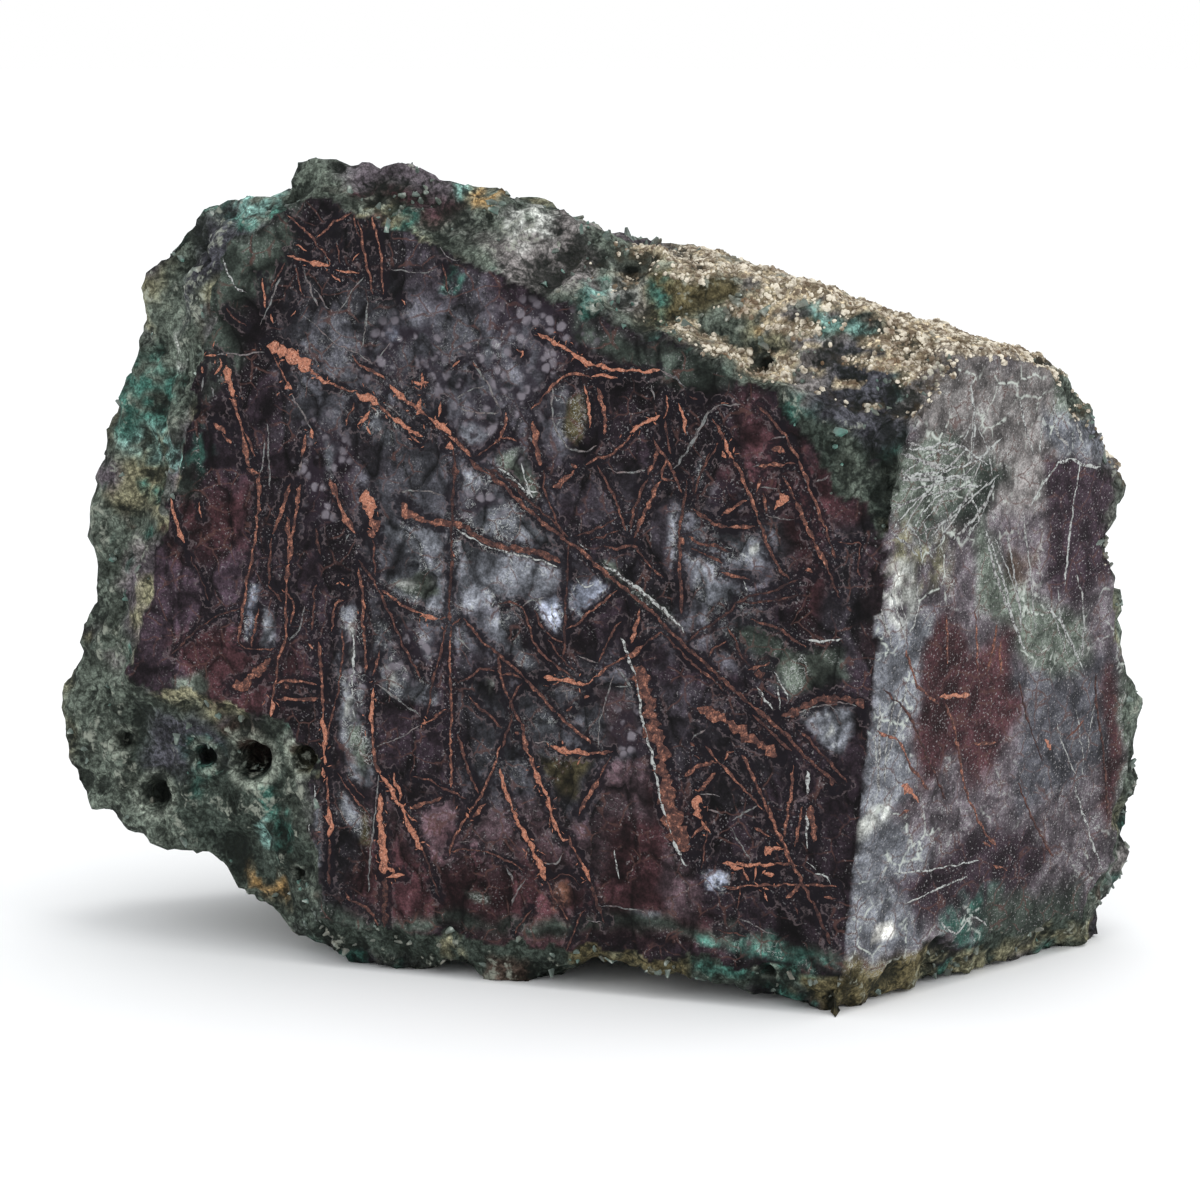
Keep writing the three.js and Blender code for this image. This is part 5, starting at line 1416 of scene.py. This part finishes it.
def copper_finish():
    """Native copper, bright where it was scraped and brown where it wasn't."""
    m = Finish("native_copper")
    at = m.place()
    patch = m.noise(at, 1.7, 4.0, 0.5)
    fine = m.noise(at, 6.0, 3.0)
    fresh = m.math("ADD", m.value("fresh"), m.ramp(patch, 0.3, 0.7, -0.30, 0.26))
    fresh = m.math("ADD", fresh, m.ramp(fine, 0.3, 0.7, -0.16, 0.16))
    cool = settings()
    colour = m.mix(m.ramp(fresh, 0.02, 0.42), (0.024, 0.011, 0.012, 1), (*cool.dull_copper, 1))
    colour = m.mix(m.ramp(fresh, 0.38, 1.0), colour, (*cool.fresh_copper, 1))
    shine = m.math("MULTIPLY", m.ramp(fine, 0.54, 0.70), m.ramp(fresh, 0.5, 1.1))
    colour = m.mix(shine, colour, (0.66, 0.36, 0.26, 1))
    pit = m.ramp(m.noise(at, 3.2, 4.0, 0.8), 0.36, 0.47, 0.8, 0.0)
    colour = m.mix(pit, colour, (0.040, 0.017, 0.015, 1))
    m.set(Base_Color=colour, Roughness=m.ramp(fresh, 0.2, 1.0, 0.65, 0.5))
    m.shader.inputs["Specular IOR Level"].default_value = 0.25
    m.set(Normal=m.bump(fine, 0.08 * MM, 0.7))
    return m.material


def thread_finish():
    """Pale quartz and chrysocolla that fill the finest cracks."""
    m = Finish("pale_thread")
    at = m.place()
    tint = m.noise(at, 0.8, 3.0, 0.4)
    fine = m.noise(at, 4.0, 3.0)
    colour = m.mix(m.ramp(tint, 0.35, 0.65), (0.15, 0.105, 0.105, 1), (0.17, 0.185, 0.18, 1))
    colour = m.mix(m.ramp(m.value("fresh"), 0.3, 1.0), colour, (0.52, 0.54, 0.52, 1))
    gone = m.ramp(m.noise(at, 1.4, 3.0), 0.38, 0.54, 0.2, 1.0)
    broken = m.math("MULTIPLY", m.ramp(fine, 0.38, 0.58), gone)
    colour = m.mix(broken, colour, (0.045, 0.038, 0.040, 1))
    m.set(Base_Color=colour, Roughness=0.6)
    m.set(Normal=m.bump(fine, 0.05 * MM, 0.5))
    return m.material


def crust_finish():
    """Sandy grains stained by iron, with grey and green ones among them."""
    m = Finish("sandy_crust")
    at = m.place()
    tint = m.noise(at, 0.22, 3.0, 0.4)
    grain = m.noise(at, 0.9, 4.0)
    colour = m.mix(m.ramp(grain, 0.40, 0.60), (0.17, 0.125, 0.080, 1), (0.78, 0.71, 0.58, 1))
    colour = m.mix(m.ramp(tint, 0.56, 0.70, 0.0, 0.7), colour, (0.17, 0.095, 0.045, 1))
    colour = m.mix(m.ramp(tint, 0.42, 0.30, 0.0, 0.6), colour, (0.20, 0.215, 0.18, 1))
    m.set(Base_Color=colour, Roughness=0.8)
    m.set(Normal=m.bump(m.noise(at, 5.0, 3.0), 0.15 * MM, 0.8))
    return m.material


def crystal_finish():
    """Small quartz crystals, some clean and some dyed green by chrysocolla."""
    m = Finish("rim_crystals")
    at = m.place()
    tint = m.noise(at, 0.18, 3.0, 0.5)
    each = m.noise(at, 1.1, 2.0)
    colour = m.mix(m.ramp(tint, 0.36, 0.52), (0.24, 0.235, 0.19, 1), (0.155, 0.205, 0.175, 1))
    colour = m.mix(m.ramp(tint, 0.56, 0.68, 0.0, 0.8), colour, (0.10, 0.27, 0.22, 1))
    colour = m.mix(m.ramp(each, 0.36, 0.68, 0.6, 0.0), colour, (0.045, 0.052, 0.045, 1))
    colour = m.mix(m.ramp(each, 0.60, 0.72, 0.0, 0.7), colour, (0.50, 0.53, 0.48, 1))
    m.set(Base_Color=colour, Roughness=0.38)
    m.set(Normal=m.bump(m.noise(at, 5.0, 3.0), 0.1 * MM, 0.5))
    return m.material


# ---- Veins ----------------------------------------------------------------------------------

FRESHNESS = {"bright": 0.95, "copper": 0.52, "thick": 0.42, "brown": 0.34, "maroon": 0.16,
             "pale": 0.4, "spray": 0.7, "white": 0.85}


def resampled(route, step):
    """Points an even step apart along a route, rounded off at its bends."""
    route = np.array(route, float)
    for _ in range(2):
        middle = (route[:-1] * 0.75 + route[1:] * 0.25, route[:-1] * 0.25 + route[1:] * 0.75)
        cut = np.stack(middle, axis=1).reshape(-1, 2)
        route = np.vstack([route[:1], cut, route[-1:]])
    runs = np.hypot(*np.diff(route, axis=0).T)
    reached = np.concatenate([[0], np.cumsum(runs)])
    count = max(3, round(reached[-1] / step) + 1)
    at = np.linspace(0, reached[-1], count)
    return np.stack([np.interp(at, reached, route[:, 0]), np.interp(at, reached, route[:, 1])], axis=1)


def ragged(route, seed):
    """The same route, never quite straight."""
    path = resampled(route, STEP)
    push = np.array([noise.noise_vector(Vector((x * 0.9, y * 0.9, seed))) for x, y in path])
    fine = np.array([noise.noise_vector(Vector((x * 2.7, y * 2.7, seed + 9))) for x, y in path])
    return path + push[:, :2] * 0.22 + fine[:, :2] * 0.10


def stretches_on(path, to_space, skin):
    """The stretches of a path that lie on the stone's skin, since the rim falls away from it."""
    touching = [skin.find_nearest(Vector(to_space(at, 0) * MM))[3] < SKIN_GAP * MM for at in path]
    for held, group in itertools.groupby(range(len(path)), key=lambda at: touching[at]):
        run = list(group)
        if held and len(run) > 2:
            yield path[run]


def lay_ribbon(form, fresh_layer, path, width, fresh, to_space, lift, seed):
    """One vein: a strip on its face, with ragged sides, a raised middle and thin ends."""
    count = len(path)
    run = np.gradient(path, axis=0)
    run /= np.maximum(np.hypot(run[:, 0], run[:, 1]), 1e-6)[:, None]
    beside = np.stack([-run[:, 1], run[:, 0]], axis=1)
    strip = bmesh.ops.create_grid(form, x_segments=count - 1, y_segments=2, size=1.0)["verts"]
    taper = np.minimum(1.0, (np.minimum(np.arange(count), np.arange(count)[::-1]) + 0.35) / 2.2)
    for vert in strip:
        at = round((vert.co.x + 1) / 2 * (count - 1))
        x, y = path[at]
        swell = 0.82 + 1.0 * noise.noise(Vector((x * 1.0, y * 1.0, seed * 0.37 + vert.co.y * 0.9)))
        swell += 0.75 * noise.noise(Vector((x * 3.1, y * 3.1, seed + vert.co.y * 2)))
        reach = vert.co.y * width / 2 * max(0.16, swell) * taper[at]
        flat = path[at] + beside[at] * reach
        height = lift * (1.0 if abs(vert.co.y) < 0.5 else 0.25) * (0.4 + 0.6 * taper[at])
        vert[fresh_layer] = fresh
        vert.co = Vector(to_space(flat, height) * MM)
    return strip


def face_space(flat, height):
    return CORNER + ACROSS * flat[0] + UP_FACE * flat[1] - DEPTH * height


def side_space(flat, height):
    return CORNER + ALONG * flat[0] + UP_SIDE * flat[1] + SIDE_NORMAL * height


def sprayed():
    """The threads of every spray, each a little bent."""
    draw = random.Random(SEED)
    found = []
    for hub, first, last, count in SPRAYS:
        for at in range(count):
            part = (at + draw.uniform(-0.3, 0.3)) / (count - 1)
            end = [first[i] + (last[i] - first[i]) * part for i in (0, 1)]
            start = [hub[i] + (end[i] - hub[i]) * draw.uniform(0.0, 0.45) for i in (0, 1)]
            middle = [(start[i] * 0.5 + end[i] * 0.5) + draw.uniform(-1.1, 1.1) for i in (0, 1)]
            found.append(("spray", draw.uniform(0.16, 0.42), [start, middle, end]))
    return found


def flecks(veins, narrowest):
    """Loose specks of metal beside the brightest veins that are at least narrowest mm wide."""
    draw = random.Random(SEED)
    found = []
    for tone, width, route in veins:
        if tone != "bright" or width < narrowest:
            continue
        path = resampled(route, 0.5)
        for x, y in path:
            if draw.random() < 0.8:
                turn = draw.uniform(0, math.tau)
                away = width / 2 + draw.uniform(0.1, 0.8)
                start = (x + math.cos(turn) * away, y + math.sin(turn) * away)
                lean = draw.uniform(0, math.tau)
                long = draw.uniform(0.25, 0.7)
                end = (start[0] + math.cos(lean) * long, start[1] + math.sin(lean) * long)
                found.append(("bright", draw.uniform(0.12, 0.32), [start, end]))
    return found


def lay_veins(name, face_veins, side_veins, material, lift):
    """All the veins of one finish, as one mesh of closed strips let into the stone."""
    skin = BVHTree.FromObject(bpy.data.objects["veined_stone"], bpy.context.evaluated_depsgraph_get())
    form = bmesh.new()
    fresh_layer = form.verts.layers.float.new("fresh")
    both = ((face_veins, face_space, DEPTH), (side_veins, side_space, -SIDE_NORMAL))
    for veins, to_space, sunk in both:
        before = len(form.faces)
        for seed, (tone, width, route) in enumerate(veins):
            for path in stretches_on(ragged(route, seed), to_space, skin):
                lay_ribbon(form, fresh_layer, path, width, FRESHNESS[tone], to_space, lift, seed)
        form.faces.ensure_lookup_table()
        fresh_faces = form.faces[before:]
        down = bmesh.ops.extrude_face_region(form, geom=fresh_faces, use_keep_orig=True)
        verts = [part for part in down["geom"] if isinstance(part, bmesh.types.BMVert)]
        bmesh.ops.translate(form, verts=verts, vec=Vector(sunk * VEIN_ROOT * MM))
    bmesh.ops.recalc_face_normals(form, faces=form.faces[:])
    return show(mesh_from(form, name, smooth=True), name, material)


# ---- Grains and crystals --------------------------------------------------------------------


def scatter(stone, count, weight, seed):
    """Picks places on the stone, more where the weight is more: each a point and its normal."""
    mesh = stone.data
    mesh.calc_loop_triangles()
    points = points_of(mesh)
    normals = normals_of(mesh)
    corners = np.empty(len(mesh.loop_triangles) * 3, int)
    mesh.loop_triangles.foreach_get("vertices", corners)
    corners = corners.reshape(-1, 3)
    sides = points[corners[:, 1:]] - points[corners[:, :1]]
    areas = np.linalg.norm(np.cross(sides[:, 0], sides[:, 1]), axis=1)
    chance = areas * weight[corners].mean(axis=1)
    draw = np.random.default_rng(seed)
    picked = draw.choice(len(corners), size=count, p=chance / chance.sum())
    part = draw.dirichlet((1, 1, 1), size=count)
    spots = (points[corners[picked]] * part[:, :, None]).sum(axis=1)
    facing = normals[corners[picked]].mean(axis=1)
    return spots, facing, draw


def stood_on(spot, facing, turn, sizes):
    """A matrix that stands a shape on the stone, turned about its own axis."""
    upright = Vector((0, 0, 1)).rotation_difference(Vector(facing))
    spin = Matrix.Rotation(turn, 4, "Z")
    placed = Matrix.Translation(Vector(spot)) @ upright.to_matrix().to_4x4()
    return placed @ spin @ Matrix.Diagonal((*sizes, 1))


def read_value(mesh, name):
    values = np.empty(len(mesh.vertices))
    mesh.attributes[name].data.foreach_get("value", values)
    return values


def grain(form, where):
    bmesh.ops.create_icosphere(form, subdivisions=1, radius=1.0, matrix=where)


def crystal(form, where, wide, tall):
    """A six-sided prism with a pointed top."""
    body = bmesh.ops.create_cone(form, cap_ends=True, cap_tris=True, segments=6, radius1=wide,
                                 radius2=wide * 0.25, depth=tall, matrix=where)
    return body["verts"]


def gathered(makers, name):
    """One mesh of many small shapes, made a batch at a time so that it stays quick."""
    whole = bmesh.new()
    for start in range(0, len(makers), BATCH):
        batch = bmesh.new()
        for make in makers[start : start + BATCH]:
            make(batch)
        part = mesh_from(batch, "batch")
        whole.from_mesh(part)
        bpy.data.meshes.remove(part)
    return mesh_from(whole, name)


def grow_crust(stone):
    """Sandy grains on top of the stone and thinly down its back."""
    weight = read_value(stone.data, "sandy") ** 1.5
    spots, facing, draw = scatter(stone, settings().crust_grains, weight, SEED)
    makers = []
    for spot, normal in zip(spots, facing):
        size = 0.16 + 0.34 * draw.random() ** 2.2
        sizes = np.array([1.0, 0.6 + 0.4 * draw.random(), 0.6 + 0.5 * draw.random()]) * size * MM
        lean = normal + draw.normal(0, 0.35, 3)
        where = stood_on(spot - normal * size * 0.2 * MM, lean, draw.random() * math.tau, sizes)
        makers.append(lambda form, where=where: grain(form, where))
    return show(gathered(makers, "sandy_crust"), "sandy_crust", crust_finish())


def grow_crystals(stone):
    """Small pointed quartz crystals on the broken rim and in its holes."""
    mesh = stone.data
    points = points_of(mesh) / MM
    place = on_face(points)
    cut = np.maximum(read_value(mesh, "polished"), read_value(mesh, "sawn"))
    clumps = step_between(-0.05, 0.45, lumps(points, 7.0, 8))
    weight = (1 - cut) * (1 - read_value(mesh, "sandy")) * (0.04 + clumps)
    weight *= np.where(place[:, 0] < -62, 0.25, 1.0) * (points[:, 2] > 1.2)
    spots, facing, draw = scatter(stone, settings().rim_crystals, weight, SEED + 1)
    makers = []
    for spot, normal in zip(spots, facing):
        wide = (0.2 + 0.5 * draw.random() ** 2) * MM
        tall = wide * (1.2 + 1.6 * draw.random())
        lean = normal + draw.normal(0, 0.5, 3)
        where = stood_on(spot, lean, draw.random() * math.tau, (1, 1, 1))
        makers.append(lambda form, w=where, r=wide, h=tall: crystal(form, w, r, h))
    return show(gathered(makers, "rim_crystals"), "rim_crystals", crystal_finish())


# ---- Stage ----------------------------------------------------------------------------------

CAMERA_TARGET = Vector((-0.7, -22.15, 44.0)) * MM
CAMERA_DISTANCE = 366.3 * MM
CAMERA_RISE = math.radians(10)
LENS = 100


def white_room():
    """White to look at, and softer in what it throws on the stone."""
    world = bpy.data.worlds.new("white_room")
    bpy.context.scene.world = world
    world.use_nodes = True
    nodes = world.node_tree.nodes
    links = world.node_tree.links
    seen = nodes.new("ShaderNodeBackground")
    seen.inputs["Strength"].default_value = 1.0
    thrown = nodes["Background"]
    thrown.inputs["Color"].default_value = (0.96, 0.98, 1.0, 1)
    thrown.inputs["Strength"].default_value = 0.9
    seen.inputs["Color"].default_value = grey(1.0)
    ray = nodes.new("ShaderNodeLightPath")
    either = nodes.new("ShaderNodeMixShader")
    links.new(ray.outputs["Is Camera Ray"], either.inputs[0])
    links.new(thrown.outputs[0], either.inputs[1])
    links.new(seen.outputs[0], either.inputs[2])
    links.new(either.outputs[0], nodes["World Output"].inputs["Surface"])


def soft_light(name, spot, target, size, power):
    lamp = bpy.data.lights.new(name, "AREA")
    lamp.shape = "SQUARE"
    lamp.size = size
    lamp.energy = power
    holder = bpy.data.objects.new(name, lamp)
    bpy.context.scene.collection.objects.link(holder)
    holder.location = spot
    holder.rotation_euler = (Vector(target) - Vector(spot)).to_track_quat("-Z", "Y").to_euler()


def day_light():
    """Broad light from above and a little behind, the same all over the floor."""
    lamp = bpy.data.lights.new("day", "SUN")
    lamp.energy = 0.85
    lamp.angle = math.radians(40)
    holder = bpy.data.objects.new("day", lamp)
    bpy.context.scene.collection.objects.link(holder)
    holder.rotation_euler = Vector((-0.22, -0.05, -1.0)).to_track_quat("-Z", "Y").to_euler()


def floor_finish():
    m = Finish("pale_floor")
    dust = m.noise(m.place(), 0.02, 3.0)
    m.set(Base_Color=m.mix(m.ramp(dust, 0.3, 0.7), grey(0.95), grey(0.97)), Roughness=0.9)
    m.shader.inputs["Specular IOR Level"].default_value = 0.0
    return m.material


def lay_floor():
    form = bmesh.new()
    bmesh.ops.create_grid(form, x_segments=1, y_segments=1, size=6.0)
    mesh = mesh_from(form, "floor")
    mesh.materials.append(floor_finish())
    floor = bpy.data.objects.new("floor", mesh)
    bpy.context.scene.collection.objects.link(floor)


def set_camera():
    lens = bpy.data.cameras.new("view")
    lens.lens = LENS
    lens.sensor_width = 36
    lens.clip_start = 0.01
    camera = bpy.data.objects.new("view", lens)
    bpy.context.scene.collection.objects.link(camera)
    back = Vector((0, -math.cos(CAMERA_RISE), math.sin(CAMERA_RISE)))
    camera.location = CAMERA_TARGET + back * CAMERA_DISTANCE
    camera.rotation_euler = (math.pi / 2 - CAMERA_RISE, 0, 0)
    bpy.context.scene.camera = camera


# ---- Operators ------------------------------------------------------------------------------


class SPECIMEN_OT_stone(bpy.types.Operator):
    """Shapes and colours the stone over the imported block"""

    bl_idname = "specimen.shape_stone"
    bl_label = "Shape Stone"

    def execute(self, context):
        piece = show(shape_stone(), "veined_stone", stone_finish())
        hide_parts("stone")
        return {"FINISHED"}


class SPECIMEN_OT_copper(bpy.types.Operator):
    """Lays the copper and brown veins on the two cut faces"""

    bl_idname = "specimen.lay_copper"
    bl_label = "Lay Copper Veins"

    def execute(self, context):
        face = [vein for vein in FACE_VEINS if vein[0] != "pale"]
        face += flecks(FACE_VEINS, 0.5)
        side = [vein for vein in SIDE_VEINS if vein[0] != "white"]
        lay_veins("copper_veins", face, side, copper_finish(), settings().vein_height / MM)
        return {"FINISHED"}


class SPECIMEN_OT_threads(bpy.types.Operator):
    """Lays the pale threads of quartz and chrysocolla on the two cut faces"""

    bl_idname = "specimen.lay_threads"
    bl_label = "Lay Pale Threads"

    def execute(self, context):
        face = [vein for vein in FACE_VEINS if vein[0] == "pale"]
        face += [("white", width, route) for width, route in WHITE_THREADS]
        side = [vein for vein in SIDE_VEINS if vein[0] == "white"] + sprayed()
        lay_veins("pale_threads", face, side, thread_finish(), settings().vein_height / MM * 0.6)
        return {"FINISHED"}


class SPECIMEN_OT_crust(bpy.types.Operator):
    """Grows the sandy crust on top of the stone"""

    bl_idname = "specimen.grow_crust"
    bl_label = "Grow Crust"

    def execute(self, context):
        grow_crust(bpy.data.objects["veined_stone"])
        return {"FINISHED"}


class SPECIMEN_OT_crystals(bpy.types.Operator):
    """Grows small crystals on the broken rim"""

    bl_idname = "specimen.grow_crystals"
    bl_label = "Grow Crystals"

    def execute(self, context):
        grow_crystals(bpy.data.objects["veined_stone"])
        return {"FINISHED"}


class SPECIMEN_OT_stage(bpy.types.Operator):
    """Lays a plain pale floor with soft light and a camera"""

    bl_idname = "specimen.set_stage"
    bl_label = "Set Stage"

    def execute(self, context):
        white_room()
        lay_floor()
        middle = (0, 0, 0.045)
        day_light()
        soft_light("from_left", (-0.7, -0.6, 0.45), middle, 0.4, 1.0)
        soft_light("from_right", (0.75, -0.35, 0.5), middle, 0.4, 1.6)
        set_camera()
        bpy.context.scene.view_settings.view_transform = "Standard"
        return {"FINISHED"}


class SPECIMEN_PT_sidebar(bpy.types.Panel):
    """The specimen's pieces and settings"""

    bl_label = "Chrysocolla Specimen"
    bl_idname = "SPECIMEN_PT_sidebar"
    bl_space_type = "VIEW_3D"
    bl_region_type = "UI"
    bl_category = "Specimen"

    def draw(self, context):
        for name in SpecimenSettings.__annotations__:
            self.layout.prop(context.scene.specimen, name)
        for operator in OPERATORS:
            self.layout.operator(operator.bl_idname)


OPERATORS = (
    SPECIMEN_OT_stone,
    SPECIMEN_OT_copper,
    SPECIMEN_OT_threads,
    SPECIMEN_OT_crust,
    SPECIMEN_OT_crystals,
    SPECIMEN_OT_stage,
)
CLASSES = (SpecimenSettings, *OPERATORS, SPECIMEN_PT_sidebar)


def register():
    for made in CLASSES:
        bpy.utils.register_class(made)
    bpy.types.Scene.specimen = bpy.props.PointerProperty(type=SpecimenSettings)


def unregister():
    del bpy.types.Scene.specimen
    for made in reversed(CLASSES):
        bpy.utils.unregister_class(made)


def main():
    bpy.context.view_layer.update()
    noise.seed_set(SEED)  # vector noise is offset by this, and by the time of day without it
    register()
    bpy.ops.specimen.shape_stone()
    bpy.ops.specimen.lay_copper()
    bpy.ops.specimen.lay_threads()
    bpy.ops.specimen.grow_crust()
    bpy.ops.specimen.grow_crystals()
    bpy.ops.specimen.set_stage()


if __name__ == "__main__":
    main()
